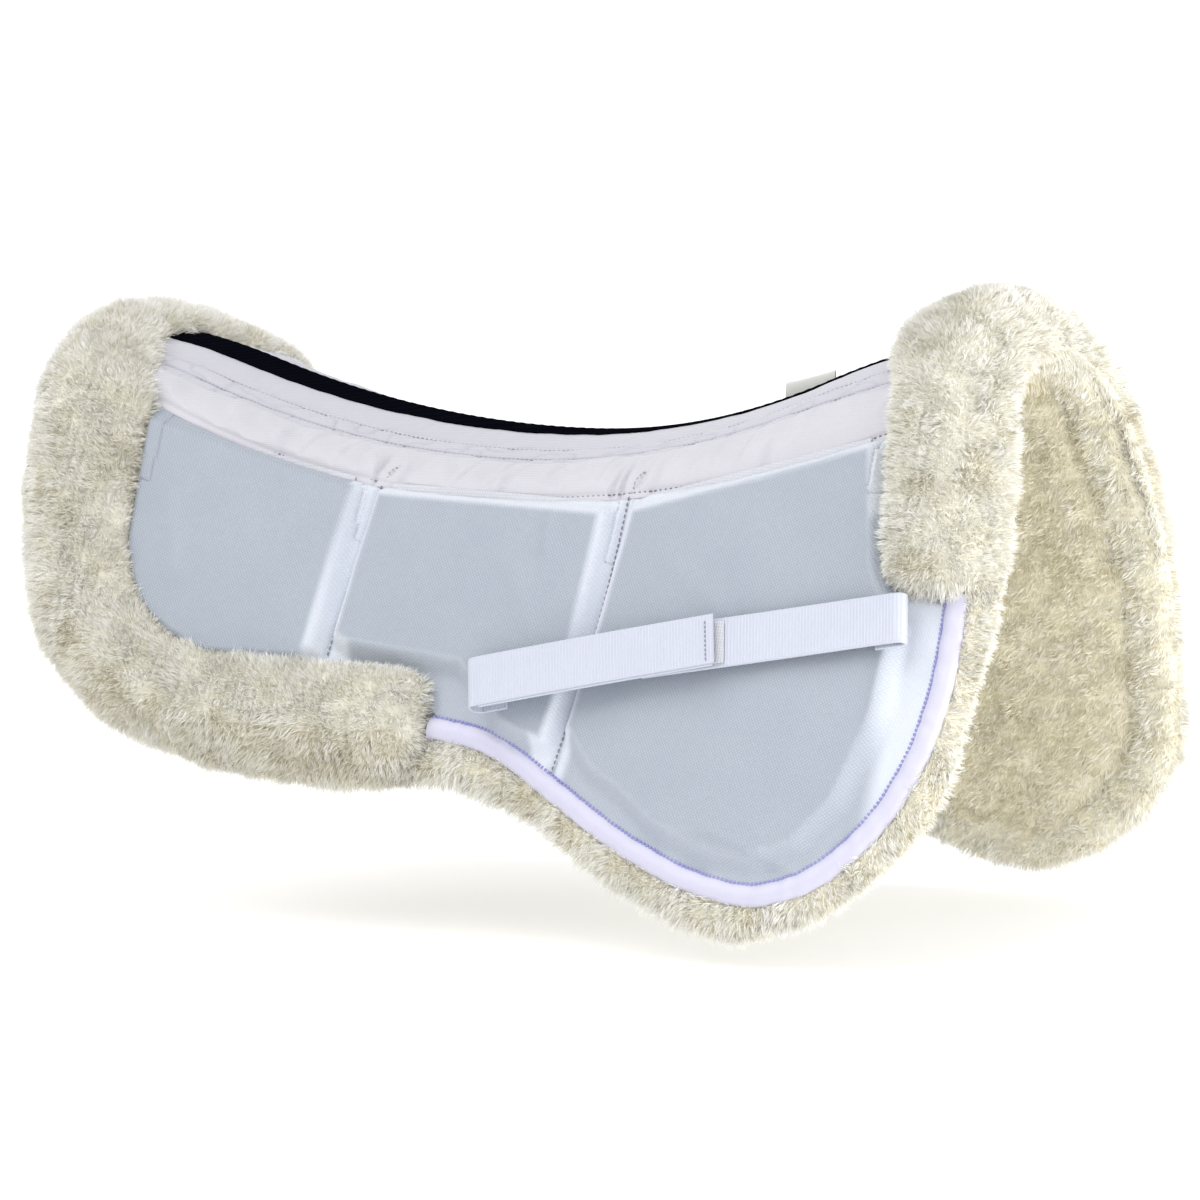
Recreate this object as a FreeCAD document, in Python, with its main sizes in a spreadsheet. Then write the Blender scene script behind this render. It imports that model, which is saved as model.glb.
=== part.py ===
"""Sheepskin-lined half pad for an English saddle, millimetres.

X runs forward to the withers, Y to the horse's left, Z up. The origin lies at the lowest point of the
underside of the spine, where the pad rests on the horse's back line.

Each wing is a curved band that leaves the spine nearly level and then runs on as a flat, steep wing
plane. A place on a wing is given by x, by r and by the height n over the wing's surface: r runs from 0 at
the spine to 1 at the hem line of the pocket mouths, and past 1 it counts hundreds of millimetres down
the wing plane.
"""
import FreeCAD, Part
import Sketcher
import math
import os
from FreeCAD import Matrix, Placement, Rotation, Vector

SHEET_VALUES = {
    # wing plane and spine curve
    "PlaneTilt": 22.4, "PlaneApex": 192.0, "SpineHalfGap": 28.0, "CurveStart": 14.0, "BandSlope": 0.2,
    "SpineRearRadius": 570.0, "SpineFrontRadius": 385.0, "SpineRearEase": 180.0, "SpineFrontEase": 150.0,
    "SpineRearEnd": 288.0, "SpineFrontEnd": 266.0, "SpineFrontEndSlope": 0.1,
    "HemCentre": 12.0, "HemDepth": 236.0, "HemRadius": 525.0, "HemRearEnd": -205.0, "HemFrontEnd": 226.0,
    # layers over the wing surface
    "FleeceDepth": 18.0, "LayerGap": 0.5, "CoverThick": 3.0, "BandThick": 0.8, "TapeThick": 1.2,
    "ShimGap": 0.4, "ShimThick": 7.0,
    "PanelGap": 1.0, "PanelThick": 1.4, "FleeceMargin": 19.0, "StripThick": 4.0,
    "RollHeight": 24.0, "CantleSpineHeight": 15.0, "RollEdge": 5.0, "RollGap": 0.9, "PipingHeight": 5.0,
    # spine pieces
    "TapeHalfWidth": 16.0, "TapeHeight": 1.2, "SpineWebThick": 3.0, "BridgeHalfWidth": 9.0,
    # pocket mouths
    "LipLength": 29.0, "LipClosedTop": 5.2, "LipTopGap": 1.2, "PocketWall": 1.6, "ShimSide": 5.0,
    "ShimDrop": 3.5, "LipSide": 3.0, "HookHeight": 16.0,
    # straps
    "StrapWidth": 25.0, "StrapThick": 2.0, "StrapLift": 6.5, "StrapStack": 0.3, "FrontStrapLength": 136.0,
    "RearStrapLength": 132.0, "FrontFoldX": 247.0, "FrontFoldT": 289.0, "FrontStrapTurn": 10.6,
    "RearFoldX": 24.0, "RearFoldT": 334.5, "RearStrapTurn": 12.6, "FoldLength": 9.0, "PatchLength": 42.0,
    "LabelLength": 28.0, "LabelThick": 1.6, "LabelFrontRise": 10.0, "LabelRearRise": 12.0,
}
SIDES = (("right", -1), ("left", 1))

document = FreeCAD.newDocument("saddle_half_pad")
sheet = document.addObject("Spreadsheet::Sheet", "Dimensions")
for row, (alias, value) in enumerate(SHEET_VALUES.items(), start=1):
    sheet.set(f"A{row}", alias)
    sheet.set(f"B{row}", str(value))
    sheet.setAlias(f"B{row}", alias)
document.recompute()


def size(alias):
    """The value of one named cell of the sheet."""
    return float(sheet.get(alias))


# ---------------------------------------------------------------- the wing's surface
TILT = math.radians(size("PlaneTilt"))
TILT_START = math.atan(size("BandSlope"))
COVER = size("CoverThick")
MOUTH_TOP = COVER + size("TapeThick")
SHIM_LOW = MOUTH_TOP + size("ShimGap")
SHIM_HIGH = SHIM_LOW + size("ShimThick")
PANEL_LOW = SHIM_HIGH + size("PanelGap")
PANEL_HIGH = PANEL_LOW + size("PanelThick")
HINGE_HEIGHT = (PANEL_LOW + PANEL_HIGH) / 2


def arc_drop(distance, radius):
    """How far a circle of this radius has left its tangent line after this distance."""
    return radius - math.sqrt(radius * radius - distance * distance)


def spine_height(x):
    """Underside of the spine: two arcs that meet at the origin and ease off towards both ends."""
    rear = x < 0
    radius = size("SpineRearRadius" if rear else "SpineFrontRadius")
    ease = size("SpineRearEase" if rear else "SpineFrontEase")
    end = size("SpineRearEnd" if rear else "SpineFrontEnd")
    end_slope = 0.0 if rear else size("SpineFrontEndSlope")
    reach = abs(x)
    if reach <= ease:
        return arc_drop(reach, radius)
    slope = ease / math.sqrt(radius * radius - ease * ease)
    past = reach - ease
    return arc_drop(ease, radius) + slope * past - (slope - end_slope) * past * past / (2 * (end - ease))


def hem_depth(x):
    """Depth of the pocket hem line below the apex of the wing planes, measured along the plane."""
    x = min(max(x, size("HemRearEnd")), size("HemFrontEnd"))
    return size("HemDepth") - arc_drop(x - size("HemCentre"), size("HemRadius"))


def plane_point(depth):
    """Half-section (y outward, z) of the wing plane at a depth along it."""
    return depth * math.sin(TILT), size("PlaneApex") - depth * math.cos(TILT)


def band_section(x, share):
    """Point of the curved band, from the spine (0) to the hem (1), and the way its layers pile up.

    That way fans evenly from the spine to the wing plane, so that no layer folds over itself.
    """
    slope = size("BandSlope")
    start = (size("CurveStart"), spine_height(x))
    steepness = math.cos(TILT) - slope * math.sin(TILT)
    corner_depth = (size("PlaneApex") - start[1] - slope * start[0]) / steepness
    corner = plane_point(min(corner_depth, hem_depth(x) - 8))
    end = plane_point(hem_depth(x))
    low, high = 0.0, 1.0
    for _ in range(40):
        middle = (low + high) / 2
        y = (1 - middle) ** 2 * start[0] + 2 * middle * (1 - middle) * corner[0] + middle ** 2 * end[0]
        low, high = (middle, high) if y < size("SpineHalfGap") else (low, middle)
    c = low + (1 - low) * share
    point = [(1 - c) ** 2 * a + 2 * c * (1 - c) * b + c * c * d for a, b, d in zip(start, corner, end)]
    lean = TILT_START + (math.pi / 2 - TILT - TILT_START) * share
    return point, (math.sin(lean), math.cos(lean))


def wing_point(side, x, r, n):
    """A place on a wing as a vector in the object's frame."""
    if r <= 1:
        (y, z), (normal_y, normal_z) = band_section(x, r)
    else:
        y, z = plane_point(hem_depth(x) + (r - 1) * 100)
        normal_y, normal_z = math.cos(TILT), math.sin(TILT)
    return Vector(x, side * (y + n * normal_y), z + n * normal_z)


def depth_to_r(x, depth):
    return 1 + (depth - hem_depth(x)) / 100


def follow(points, value):
    """Height of a polyline through points (key, height) at a key."""
    if value <= points[0][0]:
        return points[0][1]
    for (key_a, height_a), (key_b, height_b) in zip(points, points[1:]):
        if value <= key_b:
            return height_a + (height_b - height_a) * (value - key_a) / (key_b - key_a)
    return points[-1][1]


# Outline of the fleece: its rear and front edges as (depth, x), its lower edge as (x, depth).
SPINE_EDGE_DEPTH = 120.0
HEM_EDGE_DEPTH = 170.0
REAR_EDGE = [(120, -277), (165, -274), (230, -271), (278, -258), (316, -243)]
FRONT_EDGE = [(120, 267), (190, 276), (222, 283), (271, 287), (311, 283), (345, 278)]
LOWER_EDGE = [(-243, 316), (-222, 336), (-197, 355), (-172, 366), (-125, 378), (-60, 383), (10, 381),
              (56, 396), (107, 427), (150, 445), (178, 450), (215, 437), (243, 415), (266, 385), (278, 345)]
BAND_ROWS = tuple(i / 8 for i in range(9))
LATTICE = 20.0


def columns_between(rear, front):
    """Both ends and the multiples of the lattice between them, so that layers share their facets."""
    first = math.floor(rear / LATTICE + 1.2)
    last = math.ceil(front / LATTICE - 1.2)
    return [rear] + [LATTICE * i for i in range(first, last + 1)] + [front]


def outline_grid(margin, lower_rows):
    """Places (x, r) that fill the wing inside its outline less a margin."""
    rear_hem, front_hem = follow(REAR_EDGE, HEM_EDGE_DEPTH), follow(FRONT_EDGE, HEM_EDGE_DEPTH)
    middle = columns_between(rear_hem + margin, front_hem - margin)[1:-1]
    rows = []
    for share in BAND_ROWS:
        depth = SPINE_EDGE_DEPTH + share * (HEM_EDGE_DEPTH - SPINE_EDGE_DEPTH)
        rear, front = follow(REAR_EDGE, depth) + margin, follow(FRONT_EDGE, depth) - margin
        rows.append([(x, share) for x in [rear] + middle + [front]])
    rear_low, front_low = LOWER_EDGE[0], LOWER_EDGE[-1]
    hem_row = [x for x, _ in rows[-1]]
    for row_number in range(1, lower_rows + 1):
        share = row_number / lower_rows
        rear_depth = HEM_EDGE_DEPTH + (rear_low[1] - HEM_EDGE_DEPTH) * share
        front_depth = HEM_EDGE_DEPTH + (front_low[1] - HEM_EDGE_DEPTH) * share
        rear = follow(REAR_EDGE, rear_depth) + margin
        front = follow(FRONT_EDGE, front_depth) - margin
        row = []
        for x_hem in hem_row:
            x = rear + (front - rear) * (x_hem - hem_row[0]) / (hem_row[-1] - hem_row[0])
            low_x = min(max(x, rear_low[0] + margin), front_low[0] - margin)
            low_depth = follow(LOWER_EDGE, low_x) - margin * 0.9
            row.append((x, depth_to_r(x, hem_depth(x_hem) + (low_depth - hem_depth(x_hem)) * share)))
        rows.append(row)
    return rows


def face_of(*points):
    return Part.Face(Part.makePolygon(list(points) + [points[0]]))


def patch(a, b, c, d):
    """One flat face through four points, or two where they aren't in a plane."""
    normal = (b - a).cross(c - a)
    if normal.Length > 1e-9 and abs((d - a).dot(normal.normalize())) < 1e-7:
        return [face_of(a, b, c, d)]
    return [face_of(a, b, c), face_of(a, c, d)]


def grid_solid(under, over):
    """Closed solid between two grids of points with the same rows and columns."""
    faces = []
    last_row, last_column = len(under) - 1, len(under[0]) - 1
    for i in range(last_row):
        for j in range(last_column):
            faces += patch(under[i][j], under[i + 1][j], under[i + 1][j + 1], under[i][j + 1])
            faces += patch(over[i][j], over[i][j + 1], over[i + 1][j + 1], over[i + 1][j])
    for i in range(last_row):
        for j in (0, last_column):
            faces += patch(under[i][j], under[i + 1][j], over[i + 1][j], over[i][j])
    for j in range(last_column):
        for i in (0, last_row):
            faces += patch(under[i][j], under[i][j + 1], over[i][j + 1], over[i][j])
    shell = Part.Shell(faces)
    shell.sewShape()
    solid = Part.Solid(shell)
    if solid.Volume < 0:
        solid.reverse()
    return solid.removeSplitter()


def layer(side, places, low, high):
    """A layer over the wing between two heights; high may be a list with one height per column."""
    under = [[wing_point(side, x, r, low) for x, r in row] for row in places]
    over = []
    for row in places:
        heights = high if isinstance(high, list) else [high] * len(row)
        over.append([wing_point(side, x, r, n) for (x, r), n in zip(row, heights)])
    return grid_solid(under, over)


def shaped(label, shape):
    """A sub-part whose shape is set whole."""
    feature = document.addObject("Part::Feature", label)
    feature.Label = label
    feature.Shape = shape
    feature.Placement = Placement()
    sub_parts.append(feature)
    return feature


# ---------------------------------------------------------------- flat sub-parts on the wing plane
def wing_placement(side):
    """Places a body's X and Y on the wing plane: Y up the plane, Z along side * -1 of the outward way."""
    up = Vector(0, -side * math.sin(TILT), math.cos(TILT))
    forward = Vector(1, 0, 0)
    third = forward.cross(up)
    matrix = Matrix(forward.x, up.x, third.x, 0, forward.y, up.y, third.y, 0,
                    forward.z, up.z, third.z, size("PlaneApex"), 0, 0, 0, 1)
    return Placement(matrix)


def rounded_loop(corners):
    """Lines and tangent arcs round a loop of corners (x, y, radius)."""
    count = len(corners)
    ends = []
    for i, (x, y, radius) in enumerate(corners):
        here = Vector(x, y, 0)
        before = (Vector(*corners[i - 1][:2], 0) - here).normalize()
        after = (Vector(*corners[(i + 1) % count][:2], 0) - here).normalize()
        if radius == 0:
            ends.append((here, here, None))
            continue
        half = before.getAngle(after) / 2
        reach = radius / math.tan(half)
        inward = (before + after).normalize()
        middle = here + inward * (radius / math.sin(half) - radius)
        ends.append((here + before * reach, here + after * reach, middle))
    curves = []
    for i, (start, stop, middle) in enumerate(ends):
        if middle is not None:
            curves.append(Part.Arc(start, middle, stop))
        curves.append(Part.LineSegment(stop, ends[(i + 1) % count][0]))
    return curves


def origin_plane(body, role):
    return next(item for item in body.Origin.OriginFeatures if item.Role == role)


def add_sketch(body, name, curves, offset):
    """A sketch on the body's XY plane, raised to an offset given as a formula of the sheet."""
    sketch = body.newObject("Sketcher::SketchObject", name)
    sketch.AttachmentSupport = [(origin_plane(body, "XY_Plane"), "")]
    sketch.MapMode = "FlatFace"
    sketch.setExpression("AttachmentOffset.Base.z", offset)
    sketch.addGeometry(curves, False)
    return sketch


def flat_body(label, side, corners, low, thickness, placement=None):
    """A plate of one rounded outline; low and thickness are formulas of the sheet."""
    body = document.addObject("PartDesign::Body", label)
    body.Label = label
    offset = low if side < 0 else f"-({low}) - ({thickness})"
    sketch = add_sketch(body, label + "_outline", rounded_loop(corners), offset)
    pad = body.newObject("PartDesign::Pad", label + "_pad")
    pad.Profile = sketch
    pad.setExpression("Length", thickness)
    body.Placement = placement or wing_placement(side)
    sub_parts.append(body)
    return body


def cut_pocket(body, side, corners, low, depth):
    """Cuts an outline out of a body from a height upward, away from the wing's surface."""
    offset = low if side < 0 else f"-({low}) - ({depth})"
    sketch = add_sketch(body, body.Name + "_hollow_outline", rounded_loop(corners), offset)
    pocket = body.newObject("PartDesign::Pocket", body.Name + "_hollow")
    pocket.Profile = sketch
    pocket.Reversed = True
    pocket.setExpression("Length", depth)
    return pocket


D = "Dimensions."
N_COVER = D + "CoverThick"
N_MOUTH = f"({N_COVER} + {D}TapeThick)"
N_SHIM = f"({N_MOUTH} + {D}ShimGap)"
N_PANEL = f"({N_SHIM} + {D}ShimThick + {D}PanelGap)"
N_PANEL_TOP = f"({N_PANEL} + {D}PanelThick)"
N_STRAP = f"({N_PANEL_TOP} + {D}StrapLift)"
N_STRAP_TOP = f"({N_STRAP} + {D}StrapThick)"
N_REAR_STRAP = f"({N_STRAP_TOP} + {D}StrapStack + 2 * {D}TapeThick)"

# Pockets: the mouth's hem chord as two (x, depth) ends, then the rest of the outline, clockwise, as
# (x, depth, corner radius), and the shim's outline below the mouth.
POCKETS = {
    "rear": {"hem": ((-184, 204), (-66, 227)),
             "rest": [(-68, 314, 4), (-150, 310, 18), (-176, 286, 14), (-184, 262, 10)],
             "shim_low": [(-74, 306, 14), (-146, 303, 24), (-172, 276, 18)]},
    "middle": {"hem": ((-58, 228), (76, 233)),
               "rest": [(72, 300, 20), (66, 370, 5), (44, 358, 20), (20, 348, 10), (2, 346, 4), (0, 324, 3),
                        (-62, 318, 4)],
               "shim_low": [(62, 360, 12), (40, 349, 20), (8, 318, 20), (-52, 312, 16)]},
    "front": {"hem": ((84, 231), (213, 193)),
              "rest": [(218, 262, 4), (240, 282, 8), (256, 286, 4), (255, 340, 40), (236, 388, 30),
                       (186, 418, 46), (144, 409, 40), (76, 372, 5), (82, 300, 20)],
              "shim_low": [(208, 388, 22), (184, 408, 24), (150, 402, 40), (92, 368, 16)]},
}
sub_parts = []


def along(start, stop, x):
    return start[1] + (stop[1] - start[1]) * (x - start[0]) / (stop[0] - start[0])


def plane_corners(points):
    return [(x, -depth, radius) for x, depth, radius in points]


def make_pocket(name, side_name, side, plan):
    """Outer panel with sewn-down sides, the hinged lip of its mouth and the foam shim inside."""
    start, stop = plan["hem"]
    drop = size("LipLength")
    wall = size("PocketWall")
    edge = drop + size("LipTopGap")
    outer = [(start[0], start[1] + edge, 2), (stop[0], stop[1] + edge, 2)] + plan["rest"]
    panel = flat_body(f"{side_name}_pocket_{name}", side, plane_corners(outer), N_COVER,
                      f"{N_PANEL_TOP} - {N_COVER}")
    centre_x = sum(x for x, _, _ in outer) / len(outer)
    centre_depth = sum(depth for _, depth, _ in outer) / len(outer)
    inner = [(start[0] + wall, start[1] + edge - 4, 0), (stop[0] - wall, stop[1] + edge - 4, 0)]
    for x, depth, radius in plan["rest"]:
        span = math.hypot(x - centre_x, depth - centre_depth)
        share = 1 - wall / span * 1.2
        inner.append((centre_x + (x - centre_x) * share, centre_depth + (depth - centre_depth) * share,
                      max(radius - wall, 0.5)))
    cut_pocket(panel, side, plane_corners(inner), N_COVER, f"{N_PANEL} - {N_COVER}")

    inset = size("ShimSide")
    top = drop + size("ShimDrop")
    shim_start, shim_stop = start[0] + inset + 2, stop[0] - inset
    shim = [(shim_start, along(start, stop, shim_start) + top, 4),
            (shim_stop, along(start, stop, shim_stop) + top, 4)] + plan["shim_low"]
    flat_body(f"{side_name}_shim_{name}", side, plane_corners(shim), N_SHIM, D + "ShimThick")

    make_lip(name, side_name, side, start, stop)


def make_hook_tape(side_name, side):
    """One hook tape on the cover under all three mouths, along their hem chords."""
    ends = [end for plan in POCKETS.values() for end in plan["hem"]]
    margin = 6.5
    upper = [(x, depth + margin, 0) for x, depth in ends]
    lower = [(x, depth + margin + size("HookHeight"), 0) for x, depth in reversed(ends)]
    flat_body(f"{side_name}_hook_tape", side, plane_corners(upper + lower), N_COVER, D + "TapeThick")


def make_lip(name, side_name, side, start, stop):
    """The mouth's lip: a strip hinged on the panel's upper edge that leans in to the cover."""
    margin = size("LipSide")
    drop = size("LipLength")
    left, right = start[0] + margin, stop[0] - margin
    thick = size("PanelThick")
    lean = HINGE_HEIGHT - (size("LipClosedTop") + thick / 2)

    def place(x, share, n):
        depth = along(start, stop, x) + drop * (1 - share)
        height = HINGE_HEIGHT - lean * share + n
        y, z = plane_point(depth)
        return Vector(x, side * (y + height * math.cos(TILT)), z + height * math.sin(TILT))

    def strip(low_share, high_share, low, high, inset):
        ends = (left + inset, right - inset)
        under = [[place(x, share, low) for x in ends] for share in (low_share, high_share)]
        over = [[place(x, share, high) for x in ends] for share in (low_share, high_share)]
        return grid_solid(under, over)

    shaped(f"{side_name}_lip_{name}", strip(0.0, 1.0, -thick / 2, thick / 2, 0))
    shaped(f"{side_name}_loop_tape_{name}", strip(0.55, 0.98, -thick / 2 - 0.7, -thick / 2, 4))


def strap_frame(side, fold_x, fold_depth, turn):
    """Local X runs along the strap from its fold, turned in the wing plane."""
    base = wing_placement(side)
    return base.multiply(Placement(Vector(fold_x, -fold_depth, 0), Rotation(Vector(0, 0, 1), turn)))


def strap_piece(label, side, frame, start, stop, half, low, thickness):
    corners = [(start, -half, 0.8), (stop, -half, 0.8), (stop, half, 0.8), (start, half, 0.8)]
    return flat_body(label, side, corners, low, thickness, frame)


def make_straps(side_name, side):
    """The two webbing straps that close round the girth straps, with their folds and hook-and-loop."""
    half = size("StrapWidth") / 2
    front = strap_frame(side, size("FrontFoldX"), size("FrontFoldT"), 180 + size("FrontStrapTurn"))
    rear = strap_frame(side, size("RearFoldX"), size("RearFoldT"), size("RearStrapTurn"))
    fold = size("FoldLength")
    patch_length = size("PatchLength")
    front_end, rear_end = size("FrontStrapLength"), size("RearStrapLength")
    tape = D + "TapeThick"
    strap_piece(f"{side_name}_strap_front", side, front, 0.6, front_end, half, N_STRAP, D + "StrapThick")
    strap_piece(f"{side_name}_strap_rear", side, rear, 0.6, rear_end, half, N_REAR_STRAP, D + "StrapThick")
    strap_piece(f"{side_name}_strap_fold_front", side, front, -1.4, fold, half, N_PANEL_TOP,
                f"{D}StrapLift - {D}StrapStack")
    strap_piece(f"{side_name}_strap_fold_rear", side, rear, -1.4, fold, half, N_PANEL_TOP,
                f"{N_REAR_STRAP} - {N_PANEL_TOP} - {D}StrapStack")
    strap_piece(f"{side_name}_strap_hook_patch", side, front, front_end - patch_length - 2, front_end - 2,
                half - 2, N_STRAP_TOP, tape)
    strap_piece(f"{side_name}_strap_loop_patch", side, rear, rear_end - patch_length - 2, rear_end - 4,
                half - 2, f"{N_REAR_STRAP} - {tape}", tape)


# Rolls: pairs of rails (inner edge, outer edge), each place an (x, r) on the wing.
def at_depth(x, depth):
    return x, depth_to_r(x, depth)


POMMEL_RAILS = [((192, 0.0), (267, 0.0)), ((204, 0.35), (269, 0.35)), ((213, 0.7), (273, 0.7)),
                ((218, 1.0), (278, 1.0)), (at_depth(221, 226), at_depth(283, 224)),
                (at_depth(224, 262), at_depth(286, 262)), (at_depth(246, 276), at_depth(286, 280))]
CANTLE_RAILS = [((-224, 0.0), (-277, 0.0)), ((-214, 0.35), (-275, 0.35)), ((-202, 0.7), (-274, 0.7)),
                ((-192, 1.0), (-272, 1.0)), (at_depth(-190, 240), at_depth(-268, 238)),
                (at_depth(-186, 268), at_depth(-260, 276)), (at_depth(-174, 294), at_depth(-242, 318)),
                (at_depth(-152, 314), at_depth(-200, 353)), (at_depth(-124, 320), at_depth(-128, 377)),
                (at_depth(-60, 322), at_depth(-60, 383)), (at_depth(-4, 330), at_depth(-4, 380))]
PIPING_RAILS = [(at_depth(4, 350), at_depth(1, 358)), (at_depth(28, 353), at_depth(33, 362)),
                (at_depth(68, 376), at_depth(72, 383)), (at_depth(110, 398), at_depth(112, 408)),
                (at_depth(148, 413), at_depth(148, 423)), (at_depth(184, 422), at_depth(186, 431)),
                (at_depth(212, 413), at_depth(218, 421)), (at_depth(242, 388), at_depth(250, 394)),
                (at_depth(258, 352), at_depth(267, 356)), (at_depth(262, 318), at_depth(271, 318)),
                (at_depth(262, 288), at_depth(271, 284))]


def roll_solid(side, rails, height, edge, steps=3, start_height=None):
    """A low round ridge laid between two rails, highest over the middle, lower at the spine."""
    shares = (0.0, 0.2, 0.5, 0.8, 1.0)
    swell = (0.15, 0.8, 1.0, 0.8, 0.15)
    rows = []
    for (inner_a, outer_a), (inner_b, outer_b) in zip(rails, rails[1:]):
        for step in range(steps):
            part = step / steps
            inner = [a + (b - a) * part for a, b in zip(inner_a, inner_b)]
            outer = [a + (b - a) * part for a, b in zip(outer_a, outer_b)]
            rows.append((inner, outer))
    rows.append(rails[-1])
    places = [[tuple(a + (b - a) * share for a, b in zip(inner, outer)) for share in shares]
              for inner, outer in rows]
    base = COVER + size("RollGap")
    growth = [min(1.0, r / 1.2) for (_, r), _ in rows]
    tops = [(start_height or height) + (height - (start_height or height)) * grown for grown in growth]
    under = [[wing_point(side, x, r, base) for x, r in row] for row in places]
    over = [[wing_point(side, x, r, base + edge + (top - edge) * part) for (x, r), part in zip(row, swell)]
            for row, top in zip(places, tops)]
    return grid_solid(under, over)


SPINE_EDGE_X = 280.0


def band_places(rear, front, low_share, high_share):
    """Places (x, r) of a strip along the band, on the rows and columns that the layers share."""
    shares = [low_share] + [row for row in BAND_ROWS if low_share < row < high_share] + [high_share]
    return [[(x, share) for x in columns_between(rear, front)] for share in shares]


def make_wing(side_name, side):
    margin = size("FleeceMargin")
    gap = size("LayerGap")
    shaped(f"{side_name}_fleece_lining", layer(side, outline_grid(0, 4), -size("FleeceDepth"), 0))
    shaped(f"{side_name}_cover", layer(side, outline_grid(margin, 4), gap, COVER))
    strip = layer(side, band_places(-198, 186, 0.0, 0.5), COVER + gap, COVER + gap + size("StripThick"))
    shaped(f"{side_name}_spine_strip", strip)
    band = layer(side, band_places(-184, 208, 0.56, 0.94), COVER + gap, COVER + gap + size("BandThick"))
    shaped(f"{side_name}_mouth_band", band)
    for name, plan in POCKETS.items():
        make_pocket(name, side_name, side, plan)
    make_hook_tape(side_name, side)
    shaped(f"{side_name}_pommel_roll", roll_solid(side, POMMEL_RAILS, size("RollHeight"), size("RollEdge")))
    shaped(f"{side_name}_cantle_roll", roll_solid(side, CANTLE_RAILS, size("RollHeight"), size("RollEdge"),
                                                   start_height=size("CantleSpineHeight")))
    shaped(f"{side_name}_piping", roll_solid(side, PIPING_RAILS, size("PipingHeight"), 2.0, steps=1))
    make_straps(side_name, side)


def spine_ribbon(half_width, low, high, rear, front):
    """A level ribbon that follows the spine curve."""
    under, over = [], []
    for y in (-half_width, half_width):
        stations = columns_between(rear, front)
        under.append([Vector(x, y, spine_height(x) + low) for x in stations])
        over.append([Vector(x, y, spine_height(x) + high) for x in stations])
    return grid_solid(under, over)


def make_spine():
    web = size("SpineWebThick")
    top = web + size("LayerGap")
    tape_half = size("TapeHalfWidth")
    bridge = size("BridgeHalfWidth")
    roll = size("RollHeight")
    shaped("spine_web", spine_ribbon(tape_half - 2, 0, web, -SPINE_EDGE_X + 8, SPINE_EDGE_X - 20))
    shaped("spine_tape", spine_ribbon(tape_half, top, top + size("TapeHeight"), -218, 186))
    shaped("pommel_bridge", spine_ribbon(bridge, top, top + roll, 192, SPINE_EDGE_X - 16))
    cantle_top = top + size("CantleSpineHeight")
    shaped("cantle_bridge", spine_ribbon(bridge, top, cantle_top, -SPINE_EDGE_X + 8, -226))
    rear, front, edge = 109.0, 109.0 + size("LabelLength"), size("TapeHalfWidth") + size("LayerGap")
    base = size("SpineWebThick")
    corners = [(rear + 1, spine_height(rear) + base), (front - 1, spine_height(front) + base),
               (front, spine_height(front) + base + size("LabelFrontRise")),
               (rear, spine_height(rear) + base + size("LabelRearRise"))]
    loop = [Vector(x, edge, z) for x, z in corners]
    face = Part.Face(Part.makePolygon(loop + loop[:1]))
    shaped("label_tag", face.extrude(Vector(0, size("LabelThick"), 0)))


make_spine()
for side_name, side in SIDES:
    make_wing(side_name, side)
document.recompute()

for item in document.Objects:
    if "Invalid" in item.State or "Error" in item.State:
        raise RuntimeError(f"{item.Label} failed: {item.State}")
os.makedirs("parts", exist_ok=True)
for part in sub_parts:
    if part.Shape.isNull() or not part.Shape.isValid():
        raise RuntimeError(f"{part.Label} has no valid shape")
    part.Shape.exportStep(f"parts/{part.Label}.step")
print(len(sub_parts), "sub-parts written")
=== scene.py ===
"""Looks of the sheepskin-lined half pad: cloth, webbing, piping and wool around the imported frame."""
import math

import bpy
import numpy as np
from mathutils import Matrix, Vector


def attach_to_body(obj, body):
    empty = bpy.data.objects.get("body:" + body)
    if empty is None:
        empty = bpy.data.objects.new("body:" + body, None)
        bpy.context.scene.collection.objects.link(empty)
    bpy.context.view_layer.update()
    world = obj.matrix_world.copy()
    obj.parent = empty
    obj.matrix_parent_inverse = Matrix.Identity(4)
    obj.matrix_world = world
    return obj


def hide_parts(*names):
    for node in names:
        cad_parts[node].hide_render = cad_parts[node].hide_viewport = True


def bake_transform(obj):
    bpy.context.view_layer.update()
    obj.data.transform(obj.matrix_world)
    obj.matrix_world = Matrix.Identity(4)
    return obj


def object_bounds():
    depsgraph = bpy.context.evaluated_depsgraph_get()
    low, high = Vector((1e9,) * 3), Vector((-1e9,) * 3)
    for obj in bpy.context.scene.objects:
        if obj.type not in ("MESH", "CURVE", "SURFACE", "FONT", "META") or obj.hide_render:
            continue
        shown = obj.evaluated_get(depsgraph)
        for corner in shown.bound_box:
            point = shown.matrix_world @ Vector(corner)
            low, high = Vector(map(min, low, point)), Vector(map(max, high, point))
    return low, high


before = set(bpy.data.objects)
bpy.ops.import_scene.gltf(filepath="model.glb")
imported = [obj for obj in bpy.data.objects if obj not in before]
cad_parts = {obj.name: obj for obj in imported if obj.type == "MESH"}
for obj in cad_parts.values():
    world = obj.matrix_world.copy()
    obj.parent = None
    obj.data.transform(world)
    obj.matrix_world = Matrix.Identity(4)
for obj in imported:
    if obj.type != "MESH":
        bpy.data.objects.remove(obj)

cad_low, cad_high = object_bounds()
MM = 0.001
SIDES = (("right", -1), ("left", 1))

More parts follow.
